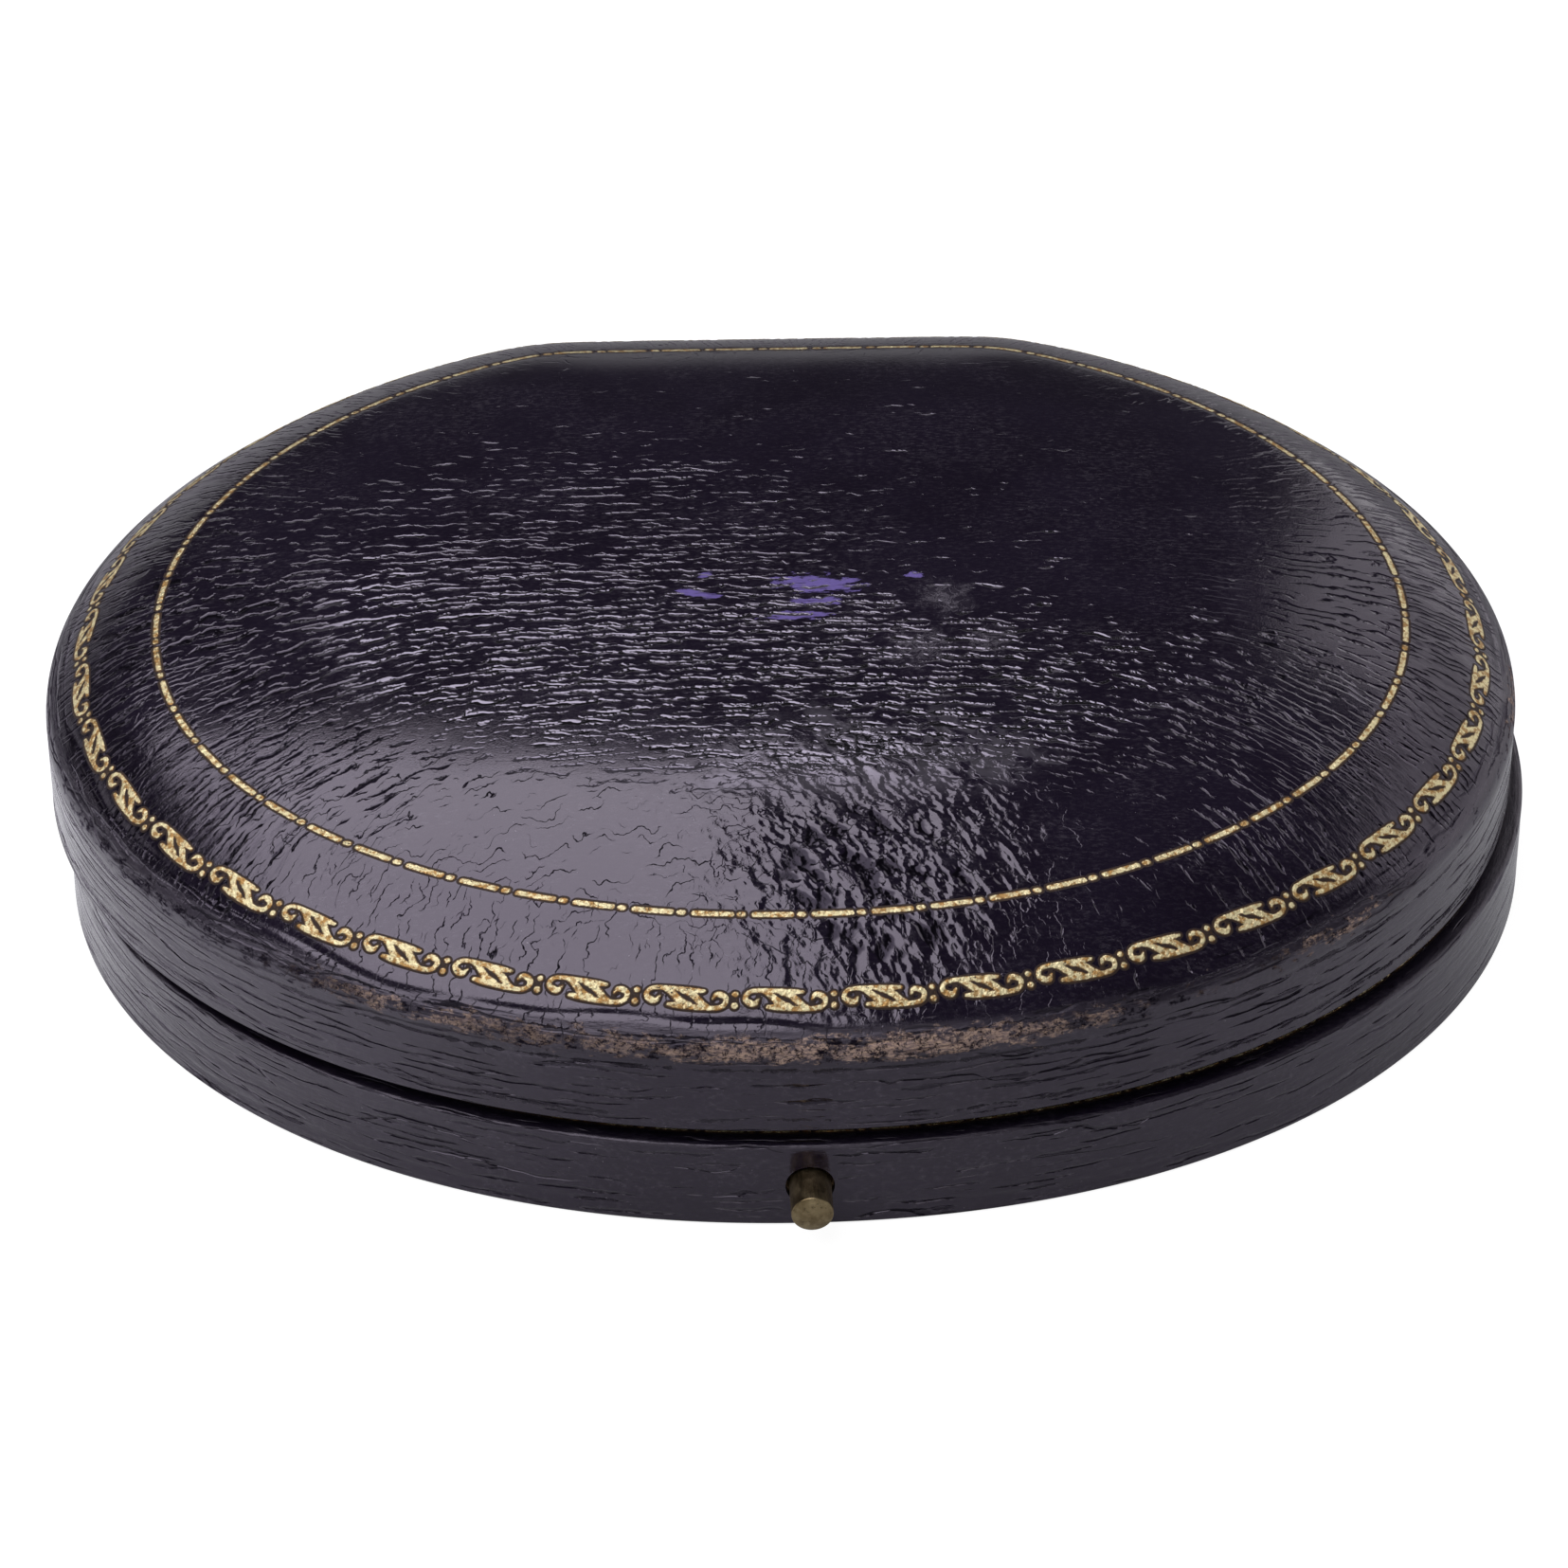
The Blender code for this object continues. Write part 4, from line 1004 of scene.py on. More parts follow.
def stamp(strokes, grow, step, half_length, half_height):
    """Small grid cells inside a set of strokes, with their border pulled onto the strokes' edge.

    Gives the points, the quads, the border's edges and each point's depth inside the edge.
    """
    xs = np.arange(-half_length, half_length + step, step)
    ys = np.arange(-half_height, half_height + step, step)
    x, y = np.meshgrid(xs, ys, indexing="ij")
    middle = stroke_distance(x[:-1, :-1] + step / 2.0, y[:-1, :-1] + step / 2.0, strokes) < grow
    i, j = np.nonzero(middle)
    corner, beside = i * len(ys) + j, (i + 1) * len(ys) + j
    quads = np.stack([corner, beside, beside + 1, corner + 1], axis=1)
    used, quads = np.unique(quads, return_inverse=True)
    quads = quads.reshape(-1, 4)
    points = np.stack([x.ravel()[used], y.ravel()[used]], axis=1)
    edges = np.concatenate([quads[:, [k, (k + 1) % 4]] for k in range(4)])
    keys = edges[:, 0] * len(points) + edges[:, 1]
    back = edges[:, 1] * len(points) + edges[:, 0]
    border = edges[~np.isin(keys, back)]
    rim_points = np.unique(border)
    small = step / 20.0
    for _ in range(3):
        px, py = points[rim_points].T
        here = stroke_distance(px, py, strokes) - grow
        slope_x = (stroke_distance(px + small, py, strokes) - grow - here) / small
        slope_y = (stroke_distance(px, py + small, strokes) - grow - here) / small
        size = np.maximum(slope_x ** 2 + slope_y ** 2, 0.3)
        points[rim_points] -= np.stack([here * slope_x / size, here * slope_y / size], axis=1)
    depth = np.maximum(grow - stroke_distance(points[:, 0], points[:, 1], strokes), 0.0)
    depth[rim_points] = 0.0
    return points, quads, border, depth


def stamped_piece(name, cell, starts, inset, slope, lift, relief, surface, material, body, seed):
    """Copies of a stamped cell along an outline, as thin closed leaves that follow the surface.

    The cell's x runs along the outline and its y up the slope inwards.  Each leaf's middle
    stands proud by lift, its edge lies on the surface, and small random dents roughen it.
    """
    points, quads, border, depth = cell
    chance = np.random.default_rng(seed)
    length = starts[:, None] + points[None, :, 0]
    inwards = inset + points[None, :, 1] / math.hypot(1.0, slope) + 0.0 * length
    turn = turn_at(length, inset)
    lower = surface(inwards, turn)
    dent = chance.normal(size=length.shape) * relief * (depth > 0.0)
    proud = (lift * (0.25 + 0.75 * smooth_step(depth, 0.0, 0.11)) + dent)[..., None]
    top = lower + np.array([0.0, 0.0, 1.0]) * proud
    bottom = lower - np.array([0.0, 0.0, foil_sink])
    both = np.stack([top, bottom], axis=1).reshape(-1, 3)
    count = len(points)
    shift = (np.arange(len(starts)) * 2 * count)[:, None, None]
    upper_faces = (quads[None] + shift).reshape(-1, 4)
    lower_faces = (quads[None, :, ::-1] + count + shift).reshape(-1, 4)
    side = np.stack([border[:, 1], border[:, 0], border[:, 0] + count, border[:, 1] + count], axis=1)
    sides = (side[None] + shift).reshape(-1, 4)
    rim_share = np.broadcast_to(1.0 - smooth_step(depth, 0.0, 0.1), (len(starts), 2, count)).ravel()
    piece = mesh_piece(name, both, [np.concatenate([upper_faces, lower_faces, sides])], [material],
                       marks={"rim_share": rim_share}, sharp=75.0)
    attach(piece, body)
    return piece


def motif_strokes():
    """Scroll of the border: a curl that runs into a long bar, and a slanting bar, both repeated
    after a half turn about the middle, and a pair of dots between one scroll and the next."""
    curl = (
        (-0.635, 0.03, 0.05), (-0.705, -0.38, 0.17), (-0.825, -0.36, 0.23), (-0.94, -0.02, 0.18),
        (-0.92, 0.45, 0.15), (-0.815, 0.76, 0.15), (-0.667, 0.85, 0.15), (-0.49, 0.86, 0.15),
        (-0.263, 0.82, 0.18), (-0.018, 0.76, 0.21), (0.21, 0.71, 0.2), (0.417, 0.675, 0.1),
    )
    bar = ((-0.526, 0.81, 0.16), (-0.368, 0.45, 0.22), (-0.228, -0.05, 0.26), (-0.088, -0.42, 0.25),
           (0.088, -0.62, 0.19))
    strokes = []
    for line in (curl, bar):
        for way in (1.0, -1.0):
            strokes.append([(way * x * motif_half_length, way * y * motif_half_height, r * motif_half_height)
                            for x, y, r in line])
    for x, y, r in ((1.155, 0.44, 0.22), (1.145, -0.6, 0.23), (1.15, -0.08, 0.09)):
        strokes.append([(x * motif_half_length, y * motif_half_height, r * motif_half_height)] * 2)
    return strokes


def dash_strokes(scale=1.0):
    """Dash and bead of the line, one after the other."""
    dash, wide, bead = dash_half_length * scale, dash_half_width * scale, bead_half_length * scale
    after = dash + bead + 0.42 * scale
    return [[(start, 0.0, wide), (end, 0.0, wide)]
            for start, end in ((-dash, dash), (after - bead / 2.0, after + bead / 2.0))]


def on_border(inwards, turn):
    """Point of the lid's top at an inset outside the dash line."""
    return twisted(lid_top(inwards / line_inset, turn))


def on_line(inwards, turn):
    """Point of the lid's top at an inset near the dash line, on either side of it."""
    x, y = oval(line_inset, turn)
    beyond = np.maximum(inwards - line_inset, 0.0) / np.hypot(x, y)
    return twisted(lid_top(np.minimum(inwards, line_inset) / line_inset + beyond, turn))


def on_ledge(inwards, turn):
    return level_loop(inwards, ledge, turn)


def gilt_pieces(gold, bed):
    """Roll border and dash line on the lid, and the dash line on the base's ledge.

    Each has its strokes, their number and phase, inset, slope, surface, body, and the step and
    half sizes of the grid that they are cut from.
    """
    plans = {
        "border": (motif_strokes(), motif_count, motif_phase, border_inset, edge_slope, on_border, "lid",
                   0.1, 3.6, 1.1),
        "line": (dash_strokes(), dash_count, dash_phase, line_inset, line_slope, on_line, "lid",
                 0.1, 2.2, 0.5),
        "ledge": (dash_strokes(0.95), ledge_dash_count, ledge_dash_phase, ledge_dash_inset, 0.0, on_ledge,
                  "base", 0.12, 2.2, 0.5),
    }
    for number, (name, plan) in enumerate(plans.items()):
        strokes, count, phase, inset, slope, surface, body, step, reach, height = plan
        starts = phase + arc_table(inset)[2] / count * np.arange(count)
        leaf = stamp(strokes, foil_spread, step, reach, height)
        stamped_piece("gilt_" + name, leaf, starts, inset, slope, foil_lift, foil_relief, surface, gold, body,
                      number)
        # Under each gold leaf a wider dark sheet paints the shade of the pressed groove round it
        under = stamp(strokes, foil_spread + shade_sheet_spread, step * 1.4, reach, height)
        stamped_piece("shade_sheet_" + name, under, starts, inset, slope, shade_sheet_lift, 0.0, surface, bed, body,
                      number)


def brass_finish(name, dark, light, rough, scratch, depth):
    """Old brass: clouded between two tones, with fine wire scratches and dulled spots."""
    material, wires, shader = finish(name)
    place = wires.place()
    cloud = wires.noise(place, 0.9, 5.0, 0.6)
    dulled = wires.noise(place, 3.5, 4.0, 0.7)
    fine = wires.noise(wires.place(scratch), 2.0, 3.0, 0.7)
    stained = tuple(0.35 * share for share in dark[:3]) + (1.0,)
    colour = wires.tint(wires.smooth(cloud, 0.35, 0.65), dark, light)
    colour = wires.tint(wires.smooth(dulled, 0.56, 0.72), colour, stained)
    rough_value = wires.add(wires.mix(cloud, rough, rough + 0.2), wires.times(wires.add(fine, -0.5), 0.25))
    set_shader(wires, shader, base_color=colour, metallic=wires.smooth(dulled, 0.5, 0.8, 1.0, 0.7),
               roughness=rough_value)
    bump(wires, shader, wires.add(fine, wires.times(dulled, 0.5)), depth)
    return material


def wood_finish():
    """Plain sawn poplar: long growth bands along X and short pores."""
    material, wires, shader = finish("poplar")
    grain = wires.noise(wires.place((0.05, 1.0, 1.0)), 0.9, 4.0, 0.6, 0.6)
    pores = wires.noise(wires.place((0.3, 4.0, 4.0)), 1.6, 3.0)
    colour = wires.tint(wires.smooth(grain, 0.3, 0.7), (0.5, 0.34, 0.2, 1.0), (0.36, 0.22, 0.115, 1.0))
    colour = wires.tint(wires.smooth(pores, 0.6, 0.75, 0.0, 0.5), colour, (0.2, 0.12, 0.06, 1.0))
    set_shader(wires, shader, base_color=colour, roughness=wires.mix(pores, 0.55, 0.75))
    bump(wires, shader, wires.add(grain, wires.times(pores, -0.6)), 0.06)
    return material


def paper_finish():
    """Leather-grained covering paper: small pebbles pressed in, rubbed here and there."""
    material, wires, shader = finish("bottom_paper")
    place = wires.place()
    cells = wires.put("ShaderNodeTexVoronoi", {"Vector": place, "Scale": 1.7},
                      feature="DISTANCE_TO_EDGE").outputs[0]
    cloud = wires.noise(place, 0.15, 5.0, 0.65)
    rubbed = wires.smooth(wires.add(cloud, wires.times(cells, 0.6)), 0.62, 0.8)
    colour = wires.tint(rubbed, (0.02, 0.018, 0.03, 1.0), (0.085, 0.075, 0.08, 1.0))
    set_shader(wires, shader, base_color=colour, roughness=wires.mix(cloud, 0.5, 0.8))
    bump(wires, shader, wires.smooth(cells, 0.0, 0.25), 0.05)
    return material


def velvet_finish(name, shade, light):
    """Short silk pile: brushed into lighter and darker swathes, with a bright edge sheen."""
    material, wires, shader = finish(name)
    place = wires.place()
    swathe = wires.noise(place, 0.09, 4.0, 0.55, 0.8)
    tuft = wires.noise(place, 7.0, 3.0, 0.7)
    share = wires.add(wires.smooth(swathe, 0.35, 0.65, 0.0, 0.7), wires.times(tuft, 0.35))
    set_shader(wires, shader, base_color=wires.tint(share, shade, light), roughness=0.95,
               specular_ior_level=0.15, sheen_weight=0.55, sheen_roughness=0.35,
               sheen_tint=(0.55, 0.42, 0.85, 1.0))
    bump(wires, shader, wires.add(tuft, wires.times(swathe, 0.8)), 0.16)
    return material


def satin_finish():
    """Cream silk satin: fine ribs of the weave, soft gloss and a little foxing."""
    material, wires, shader = finish("cream_satin")
    _, y, z = wires.split(wires.place())
    weave = wires.maths("SINE", wires.times(wires.add(y, wires.times(z, 1.3)), 26.0))
    slub = wires.noise(wires.place((0.3, 3.0, 3.0)), 1.4, 3.0)
    age = wires.noise(wires.place(), 0.08, 5.0, 0.6)
    colour = wires.tint(wires.smooth(age, 0.46, 0.78), (0.9, 0.84, 0.7, 1.0), (0.74, 0.64, 0.47, 1.0))
    colour = wires.tint(wires.smooth(slub, 0.5, 0.8, 0.0, 0.25), colour, (0.9, 0.85, 0.74, 1.0))
    set_shader(wires, shader, base_color=colour, roughness=wires.mix(slub, 0.3, 0.44),
               specular_ior_level=0.7, sheen_weight=0.25, sheen_roughness=0.3,
               sheen_tint=(1.0, 0.95, 0.85, 1.0))
    bump(wires, shader, wires.add(wires.times(weave, 0.25), slub), 0.03)
    return material


def collar_finish():
    """Thin smooth leather over the collar, polished where the lid slides over it."""
    material, wires, shader = finish("collar_leather")
    streak = wires.noise(wires.place((0.3, 0.3, 3.0)), 1.2, 4.0)
    pores = wires.noise(wires.place(), 6.0, 2.0)
    colour = wires.tint(wires.smooth(streak, 0.4, 0.7), collar_dark, collar_light)
    set_shader(wires, shader, base_color=colour, roughness=wires.mix(streak, 0.32, 0.5),
               specular_ior_level=0.6, specular_tint=leather_sheen)
    bump(wires, shader, wires.add(streak, wires.times(pores, 0.3)), 0.04)
    return material


collar_dark = (0.009, 0.006, 0.014, 1.0)
collar_light = (0.026, 0.019, 0.034, 1.0)


def steel_finish():
    """Blued spring steel with straw-coloured temper clouds and lengthwise polish."""
    material, wires, shader = finish("spring_steel")
    cloud = wires.noise(wires.place(), 0.5, 3.0)
    polish = wires.noise(wires.place((0.4, 6.0, 6.0)), 2.0, 3.0)
    colour = wires.tint(cloud, (0.2, 0.22, 0.27, 1.0), (0.36, 0.33, 0.3, 1.0))
    set_shader(wires, shader, base_color=colour, metallic=1.0, roughness=wires.mix(polish, 0.22, 0.45))
    bump(wires, shader, polish, 0.02)
    return material


def even_angles(count):
    return np.linspace(0.0, full_turn, count, endpoint=False)


def collar_piece(material):
    """Upstand with a rounded top edge, notched for the catch."""
    turn = even_angles(360)
    half = collar_thickness / 2.0
    foot = collar_high - collar_round
    rows = [level_loop(collar_inset, collar_low, turn), level_loop(collar_inset, foot, turn)]
    rows += [level_loop(collar_inset + half - half * math.cos(angle), foot + collar_round * math.sin(angle),
                        turn) for angle in np.linspace(0.0, math.pi, 9)]
    rows.append(level_loop(collar_inset + collar_thickness, collar_low, turn))
    collar = loop_piece("collar_cover", np.array(rows), [material])
    catch_low, catch_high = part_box("catch_plate")
    cut(collar, [block_cutter(
        (catch_low.x / mm - 0.25, catch_low.y / mm - 1.5, collar_low - 1.0),
        (catch_high.x / mm + 0.25, catch_high.y / mm + 2.0, collar_high + 1.0))])
    finish_piece(collar, "base", "base_collar")


def well_piece(material):
    """Velvet well: from its lip down into the bracelet's groove and on under the pad."""
    turn = even_angles(360)
    wall, foot = level_loop(well_inset, 0.0, turn), pad_foot(turn)
    rows = [level_loop(well_inset, well_low, turn)]
    for share, rise in soft_profile(well_profile, 40):
        points = wall * (1.0 - share) + foot * share
        lumps = unevenness(points[:, 0], points[:, 1], points[:, 2], 81, 8.0, 0.16)
        points[:, 2] = well_floor + (well_lip - well_floor) * rise + lumps
        rows.append(points)
    rows += [foot * share + (0.0, 0.0, well_floor) for share in (0.66, 0.33)]
    well = loop_piece("velvet_well", np.array(rows), [material], [(0, 0, well_low), (0, 0, well_floor)])
    finish_piece(well, "base", "base_well")


def pad_foot(turn):
    """Oval that the bracelet pad stands on."""
    return np.stack([pad_half_width * np.cos(turn), pad_half_depth * np.sin(turn), 0.0 * turn], axis=-1)


def bracelet_pad_piece(material):
    """Crowned velvet pad, swollen over its stuffing."""
    foot = pad_foot(even_angles(360))
    rows = []
    for share, rise in soft_profile(pad_profile, 34):
        points = foot * share
        lumps = unevenness(points[:, 0], points[:, 1], points[:, 2], 91, 9.0, 0.12)
        points[:, 2] = pad_low + (pad_height - swelling) * rise + lumps * rise
        rows.append(points)
    pad = loop_piece("velvet_bracelet_pad", np.array(rows), [material],
                     [(0, 0, pad_low), (0, 0, pad_low + pad_height)])
    stuffed(pad, len(rows), pad_pressure, swelling)
    finish_piece(pad, "base", "bracelet_pad")


def silk_band_piece(material):
    """Silk band inside the lid's wall, gathered in small uneven pleats."""
    turn = even_angles(720)
    pleat = 0.13 * np.sin(turn * 96.0 + 2.0 * np.sin(turn * 11.0)) * (0.6 + 0.4 * np.sin(turn * 23.0))
    rows = [level_loop(turn_in_inset + inset + pleat * ruffle, height, turn) for inset, height, ruffle in (
        (0.0, band_high, 0.0), (0.0, band_low, 0.0), (0.3, band_low, 0.3), (0.42, band_low + 0.2, 0.7),
        (0.45, band_low + 0.8, 1.0), (0.45, band_high - 0.8, 1.0), (0.45, band_high - 0.3, 0.7),
        (0.5, band_high - 0.1, 0.2), (1.6, band_high - 0.1, 0.0), (1.6, band_high, 0.0))]
    band = loop_piece("silk_band", twisted(np.array(rows)), [material])
    finish_piece(band, "lid", "lid_band")


def satin_puff_piece(material):
    """Satin pad inside the lid, gathered round its edge and swollen over its stuffing."""
    turn = even_angles(576)
    pad_x, pad_y = oval(lid_pad_inset, turn)
    rows = []
    for share, drop in soft_profile(lid_pad_profile, 40):
        x, y = pad_x * share, pad_y * share
        gather = np.sin(turn * 84.0 + 3.0 * np.sin(turn * 7.0) + 6.0 * share)
        fold = 0.11 * gather * smooth_step(share, 0.45, 0.9) * (1.0 - smooth_step(share, 0.93, 0.99))
        sag = unevenness(x, y, 0.0 * x, 101, 10.0, 0.2)
        hang = (lid_pad_drop - swelling) * drop * (0.86 + 0.14 * (1.0 - share))
        rows.append(np.stack([x, y, band_high - hang - (fold + sag) * drop * 0.9], axis=-1))
    poles = np.array([(0.0, 0.0, band_high), (0.0, 0.0, band_high - lid_pad_drop)])
    puff = loop_piece("satin_puff", twisted(np.array(rows)), [material], twisted(poles))
    stuffed(puff, len(rows), puff_pressure, swelling)
    finish_piece(puff, "lid", "lid_satin_pad")


# Profiles of well and pads, as (share of width, share of height)
well_profile = ((0.0, 0.94), (0.03, 1.0), (0.08, 0.97), (0.14, 0.78), (0.27, 0.26), (0.40, 0.04),
                (0.6, 0.0), (0.97, 0.0))
pad_profile = ((0.965, 0.0), (1.0, 0.3), (0.985, 0.66), (0.93, 0.86), (0.8, 0.95), (0.45, 1.0), (0.03, 1.0))
lid_pad_profile = ((0.97, 0.0), (1.0, 0.22), (0.985, 0.45), (0.93, 0.7), (0.78, 0.9), (0.42, 1.0),
                   (0.03, 1.0))


def soft_profile(table, count):
    """Even steps along the smooth profile through a table."""
    table = np.array(table)
    walked = np.concatenate([[0.0], np.cumsum(np.hypot(*np.diff(table, axis=0).T))])
    fine = fine_line(np.column_stack([table, walked]))
    along = np.linspace(0.0, walked[-1], count)
    return np.stack([np.interp(along, fine[:, 2], fine[:, k]) for k in (0, 1)], axis=1)


def stuffed(piece, loops, pressure, cap):
    """Cloth simulation of a pad's cover: it swells under its stuffing while its back is held.

    The back is the first two of its loops and the first pole.  It runs at cloth_scale times the
    pad's size, where the solver is steady.  No point moves further than cap millimetres, and the
    mesh keeps the result.
    """
    points = piece.data.vertices
    around = (len(points) - 2) // loops
    held = list(range(2 * around)) + [loops * around]
    before = np.empty(len(points) * 3)
    points.foreach_get("co", before)
    points.foreach_set("co", before * cloth_scale)
    fixed = piece.vertex_groups.new(name="held")
    fixed.add(held, 1.0, "REPLACE")
    cloth = piece.modifiers.new("Cloth", "CLOTH")
    cloth.settings.quality = 5
    cloth.settings.use_pressure = True
    cloth.settings.uniform_pressure_force = pressure
    cloth.settings.vertex_group_mass = "held"
    cloth.settings.effector_weights.gravity = 0.0
    cloth.point_cache.frame_start = 1
    cloth.point_cache.frame_end = cloth_frames
    for moment in range(1, cloth_frames + 1):
        bpy.context.scene.frame_set(moment)
    swollen = piece.evaluated_get(bpy.context.evaluated_depsgraph_get()).to_mesh()
    after = np.empty(len(points) * 3)
    swollen.vertices.foreach_get("co", after)
    piece.modifiers.clear()
    piece.vertex_groups.clear()
    bpy.context.scene.frame_set(1)
    move = (after / cloth_scale - before).reshape(-1, 3)
    length = np.linalg.norm(move, axis=1, keepdims=True)
    move *= np.minimum(1.0, cap * mm / np.maximum(length, 1e-9))
    points.foreach_set("co", before + move.ravel())
    piece.data.update()


def finish_piece(piece, body, node):
    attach(piece, body)
    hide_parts(node)


def turned_button(material):
    """Brass push button: domed end with a soft edge, barrel, flange and tail, turned about +Y."""
    rounding = button_radius * 0.07
    end_edge = -button_proud + button_dome
    tail_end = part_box("push_button")[1].y / mm + front_reach
    profile = [(button_radius * 0.93 * share, -button_proud + button_dome * share ** 2)
               for share in np.linspace(0.0, 1.0, 12)[1:]]
    profile += [(button_radius - rounding + rounding * math.sin(angle),
                 end_edge + rounding * (1.0 - math.cos(angle)))
                for angle in np.linspace(0.0, math.pi / 2.0, 6)[1:]]
    profile += [(button_radius, reach) for reach in np.linspace(-button_proud + 0.5, flange_low, 14)]
    profile += [(flange_radius, flange_low), (flange_radius, flange_high), (tail_radius, flange_high),
                (tail_radius, tail_end - 0.05), (tail_radius - 0.1, tail_end)]
    turn = even_angles(96)
    rows = [np.stack([button_side + radius * np.cos(turn), np.full_like(turn, reach - front_reach),
                      button_height + radius * np.sin(turn)], axis=-1) for radius, reach in profile]
    poles = [(button_side, reach - front_reach, button_height) for reach in (-button_proud, tail_end)]
    piece = loop_piece("brass_button", np.array(rows), [material], poles)
    finish_piece(piece, "button", "push_button")


def refined(node, body, material, edge):
    """Merged copy of a packed metal piece with its edges broken, in the node's place."""
    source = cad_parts[node]
    shape = bmesh.new()
    shape.from_mesh(source.data)
    bmesh.ops.remove_doubles(shape, verts=shape.verts, dist=0.000002)
    bmesh.ops.dissolve_limit(shape, angle_limit=math.radians(1.0), verts=shape.verts, edges=shape.edges)
    mesh = bpy.data.meshes.new(node + "_finished")
    shape.to_mesh(mesh)
    shape.free()
    piece = bpy.data.objects.new(node + "_finished", mesh)
    bpy.context.scene.collection.objects.link(piece)
    mesh.materials.clear()
    mesh.materials.append(material)
    bevel = piece.modifiers.new("Broken edge", "BEVEL")
    bevel.width = edge * mm
    bevel.segments = 2
    bevel.limit_method = "ANGLE"
    bevel.angle_limit = math.radians(35.0)
    mesh.shade_smooth()
    mesh.set_sharp_from_angle(angle=math.radians(35.0))
    finish_piece(piece, body, node)


def metal_pieces():
    """Hinge, nails, spring, catch and keeper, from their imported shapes."""
    brass = brass_finish("hinge_brass", (0.42, 0.28, 0.11, 1.0), (0.68, 0.49, 0.22, 1.0), 0.3,
                         (0.4, 4.0, 4.0), 0.02)
    catch_brass = brass_finish("catch_brass", (0.2, 0.145, 0.06, 1.0), (0.42, 0.32, 0.14, 1.0), 0.34,
                               (4.0, 4.0, 0.5), 0.02)
    turned_button(brass_finish("button_brass", (0.22, 0.165, 0.085, 1.0), (0.42, 0.335, 0.19, 1.0), 0.28,
                               (3.0, 0.6, 3.0), 0.025))
    refined("catch_plate", "button", catch_brass, 0.04)
    refined("latch_spring", "base", steel_finish(), 0.03)
    for node, body, edge in (("keeper_plate", "lid", 0.05), ("hinge_leaf_base", "base", 0.04),
                             ("hinge_leaf_lid", "lid", 0.04), ("hinge_pin", "base", 0.05)):
        refined(node, body, brass, edge)
    for number in (1, 2, 3):
        for body in ("base", "lid"):
            refined("hinge_nail_%s_%d" % (body, number), body, brass, 0.06)
    for number in (1, 2):
        for name, body in (("spring", "base"), ("keeper", "lid")):
            refined("%s_nail_%d" % (name, number), body, brass, 0.06)


def dress_nodes():
    """Wooden rings and boards, and the bottom paper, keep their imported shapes."""
    wood, paper = wood_finish(), paper_finish()
    for node, material in (("base_ring", wood), ("base_board", wood), ("lid_ring", wood),
                           ("lid_dome_board", wood), ("base_paper", paper)):
        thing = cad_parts[node]
        if not thing.material_slots:
            thing.data.materials.append(material)
        for slot in thing.material_slots:
            slot.material = material


def panel(name, width, height, place, aim, radiance, colour):
    """Soft light: a rectangle of even brightness at a place, looking at a point."""
    lamp = bpy.data.lights.new(name, "AREA")
    lamp.shape = "RECTANGLE"
    lamp.size = width
    lamp.size_y = height
    lamp.energy = radiance * math.pi * width * height
    lamp.color = colour
    holder = bpy.data.objects.new(name, lamp)
    bpy.context.scene.collection.objects.link(holder)
    holder.location = place
    holder.rotation_euler = (Vector(aim) - Vector(place)).to_track_quat("-Z", "Y").to_euler()
    holder.visible_camera = False


def studio_lights():
    """Wide panel above and to the left, and cards on the right, on the left and in front."""
    left, right, front, rear = (panel_height * share for share in (-1.0, 0.075, -0.75, 0.86))
    middle = ((left + right) / 2.0, (front + rear) / 2.0)
    panel("overhead_panel", right - left, rear - front, middle + (panel_height,), middle + (0.0,),
          panel_radiance, (0.965, 0.94, 1.0))
    panel("right_card", 0.95, 0.62, (0.55, 0.36, 0.3), (0.0, 0.0, 0.3), 0.75, (1.0, 0.97, 1.0))
    panel("left_card", 0.5, 0.25, (-0.62, 0.1, 0.12), (0.0, 0.0, 0.12), 0.5, (1.0, 0.97, 1.0))
    panel("front_card", 0.7, 0.4, (0.0, -0.85, 0.4), (0.0, 0.0, 0.05), 0.9, (1.0, 0.98, 1.0))


def seen_rays(wires):
    """Kinds of rays by name, and whether a ray comes straight from the camera."""
    rays = wires.put("ShaderNodeLightPath").outputs
    return rays, wires.most(rays["Is Camera Ray"], rays["Is Transmission Ray"])


def studio_world():
    """White where the camera looks, a dim room for the rest, and a pale horizon in reflections."""
    world = bpy.data.worlds.new("studio")
    bpy.context.scene.world = world
    world.use_nodes = True
    wires = Wires(world.node_tree)
    rays, seen = seen_rays(wires)
    up = wires.split(wires.put("ShaderNodeTexCoord").outputs["Generated"])[2]
    glossy = wires.times(rays["Is Glossy Ray"], wires.smooth(up, 0.07, 0.16, 0.4, 0.04))
    diffuse = wires.times(rays["Is Diffuse Ray"], 0.22)
    back = world.node_tree.nodes["Background"].inputs
    wires.give(back["Strength"], wires.add(seen, glossy, diffuse))
    wires.give(back["Color"], grey(1.0))


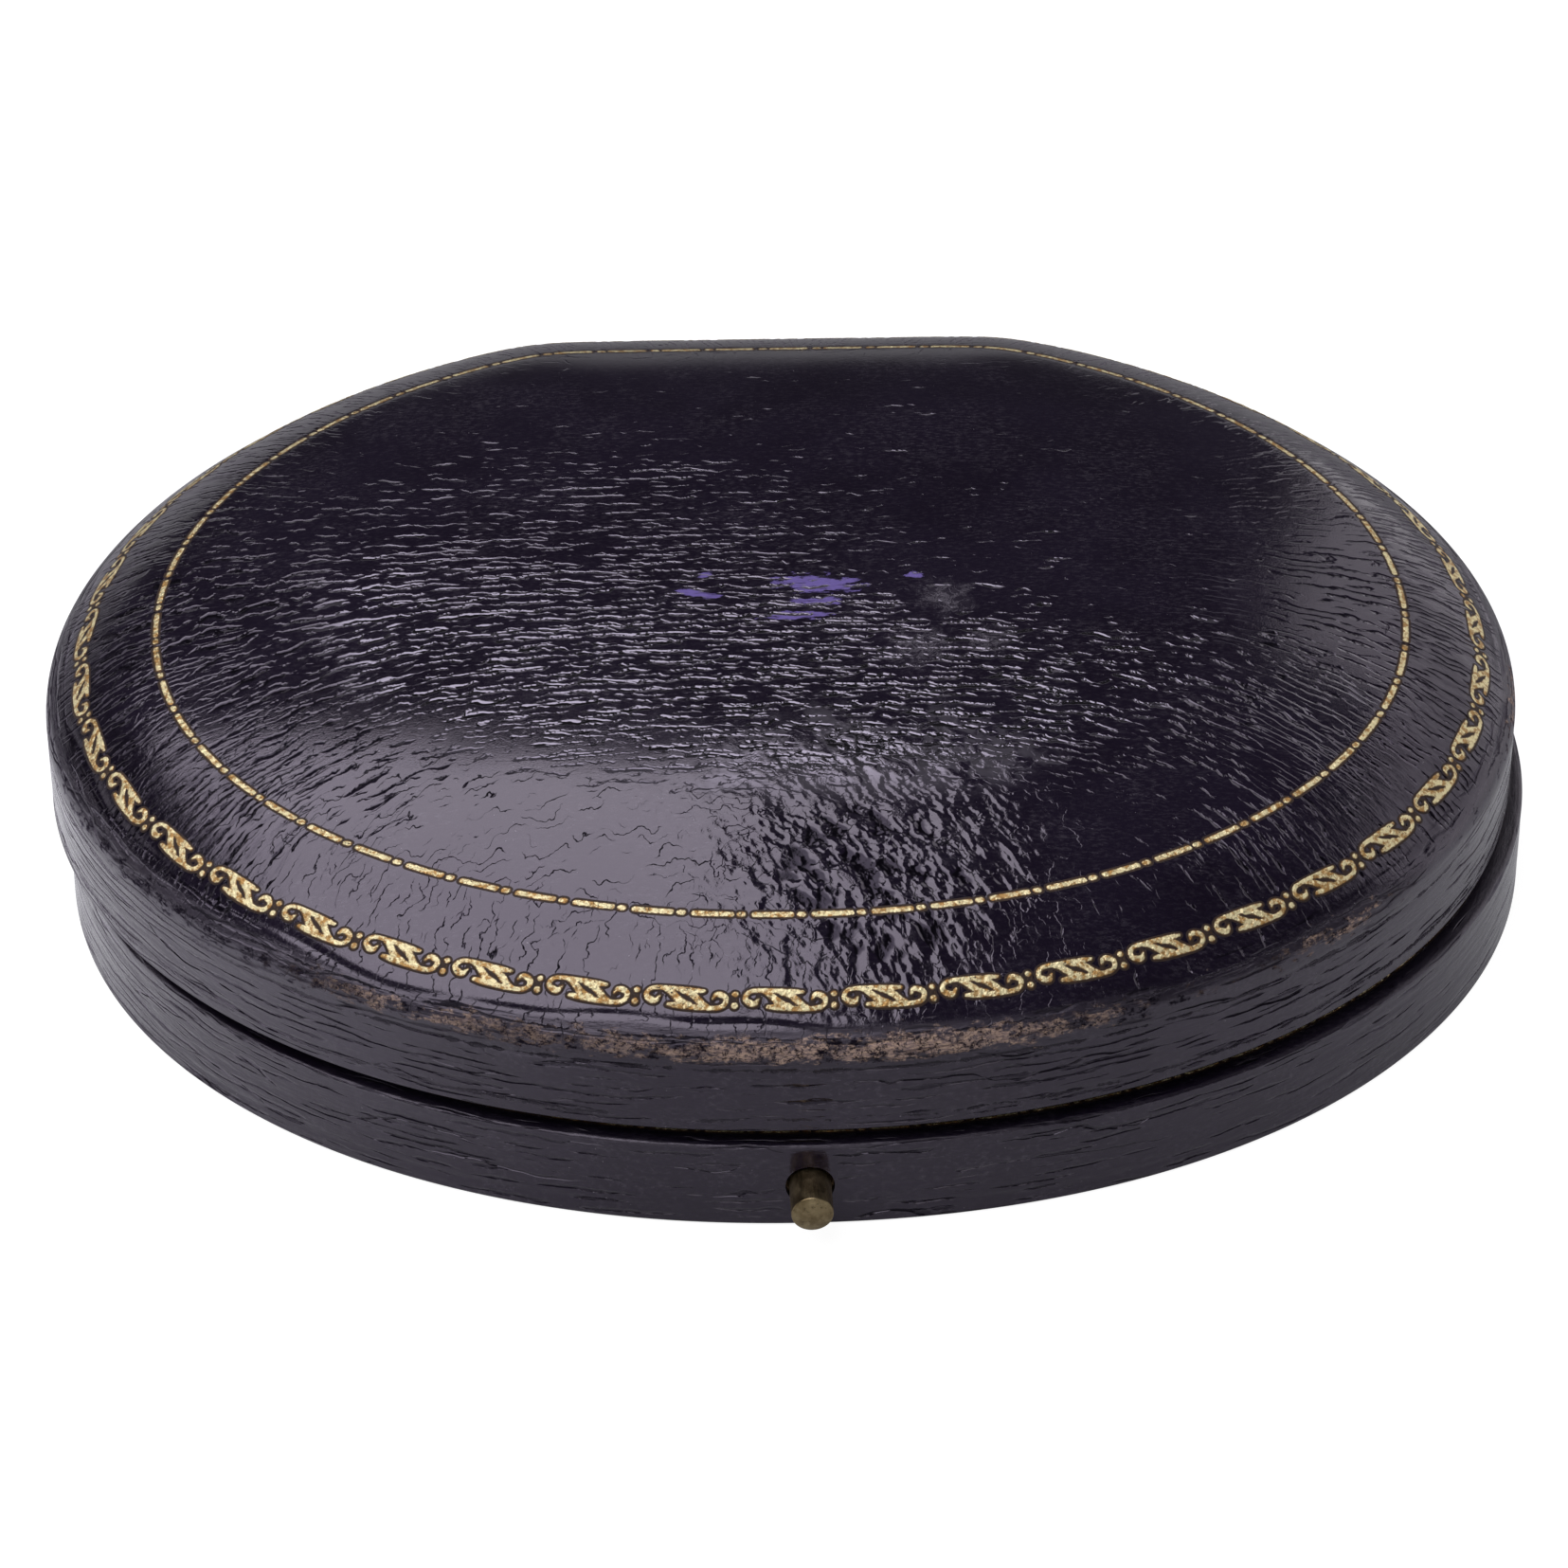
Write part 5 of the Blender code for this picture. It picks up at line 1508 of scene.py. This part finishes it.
def studio_floor():
    """Pale floor: near white to the camera, and darker where the leather mirrors it."""
    material = bpy.data.materials.new("pale_floor")
    material.use_nodes = True
    wires = Wires(material.node_tree)
    wires.tree.nodes.remove(wires.tree.nodes["Principled BSDF"])
    rays, seen = seen_rays(wires)
    mirror = rays["Is Glossy Ray"]
    tone = wires.tint(wires.most(seen, mirror), grey(0.8), grey(0.22))
    spread = wires.put("ShaderNodeBsdfDiffuse", {"Color": tone})
    side, deep, _ = wires.split(wires.put("ShaderNodeTexCoord").outputs["Object"])
    mirrored = wires.add(wires.smooth(side, -0.068, -0.01, 0.95, 0.2),
                         wires.smooth(side, 0.01, 0.09, 0.0, 0.3))
    mirrored = wires.times(mirrored, wires.smooth(deep, 0.01, 0.06, 1.0, 0.22))
    strength = wires.add(wires.times(seen, 0.93), wires.times(mirror, mirrored))
    colour = wires.tint(mirror, grey(1.0), (0.94, 0.94, 1.0, 1.0))
    glow = wires.put("ShaderNodeEmission", {"Color": colour, "Strength": strength})
    both = wires.put("ShaderNodeAddShader", {0: spread.outputs[0], 1: glow.outputs[0]})
    wires.give(wires.tree.nodes["Material Output"].inputs["Surface"], both.outputs[0])
    mesh = bpy.data.meshes.new("floor")
    corners = [(x * floor_half, y * floor_half, floor_level) for x, y in ((-1, -1), (1, -1), (1, 1), (-1, 1))]
    mesh.from_pydata(corners, [], [(0, 1, 2, 3)])
    mesh.materials.append(material)
    floor = bpy.data.objects.new("floor", mesh)
    bpy.context.scene.collection.objects.link(floor)


def photo_camera():
    """Camera at the photograph's place; its lens and stand come from a fit to outline and gilt lines."""
    camera = bpy.data.cameras.new("camera")
    camera.sensor_width = 36.0
    camera.lens = 152.27
    camera.clip_start = 0.01
    holder = bpy.data.objects.new("camera", camera)
    bpy.context.scene.collection.objects.link(holder)
    target = Vector((-1.143, -6.539, 10.0)) * mm
    rise, side = math.radians(37.92), math.radians(-2.99)
    back = Vector((math.sin(side) * math.cos(rise), -math.cos(side) * math.cos(rise), math.sin(rise)))
    holder.location = target + back * 426.8 * mm
    holder.rotation_euler = (-back).to_track_quat("-Z", "Y").to_euler()
    bpy.context.scene.camera = holder


photo_camera()
lid_leather_piece(lid_leather_finish())
base_leather_piece(base_leather_finish())
gilt_pieces(gilt_finish(), shade_sheet_finish())
dress_nodes()
collar_piece(collar_finish())
well_piece(velvet_finish("violet_velvet", (0.016, 0.006, 0.04, 1.0), (0.075, 0.03, 0.165, 1.0)))
bracelet_pad_piece(velvet_finish("violet_velvet_pad", (0.018, 0.007, 0.045, 1.0), (0.085, 0.035, 0.18, 1.0)))
satin = satin_finish()
silk_band_piece(satin)
satin_puff_piece(satin)
metal_pieces()
studio_lights()
studio_world()
studio_floor()
bpy.context.scene.view_settings.view_transform = "Standard"
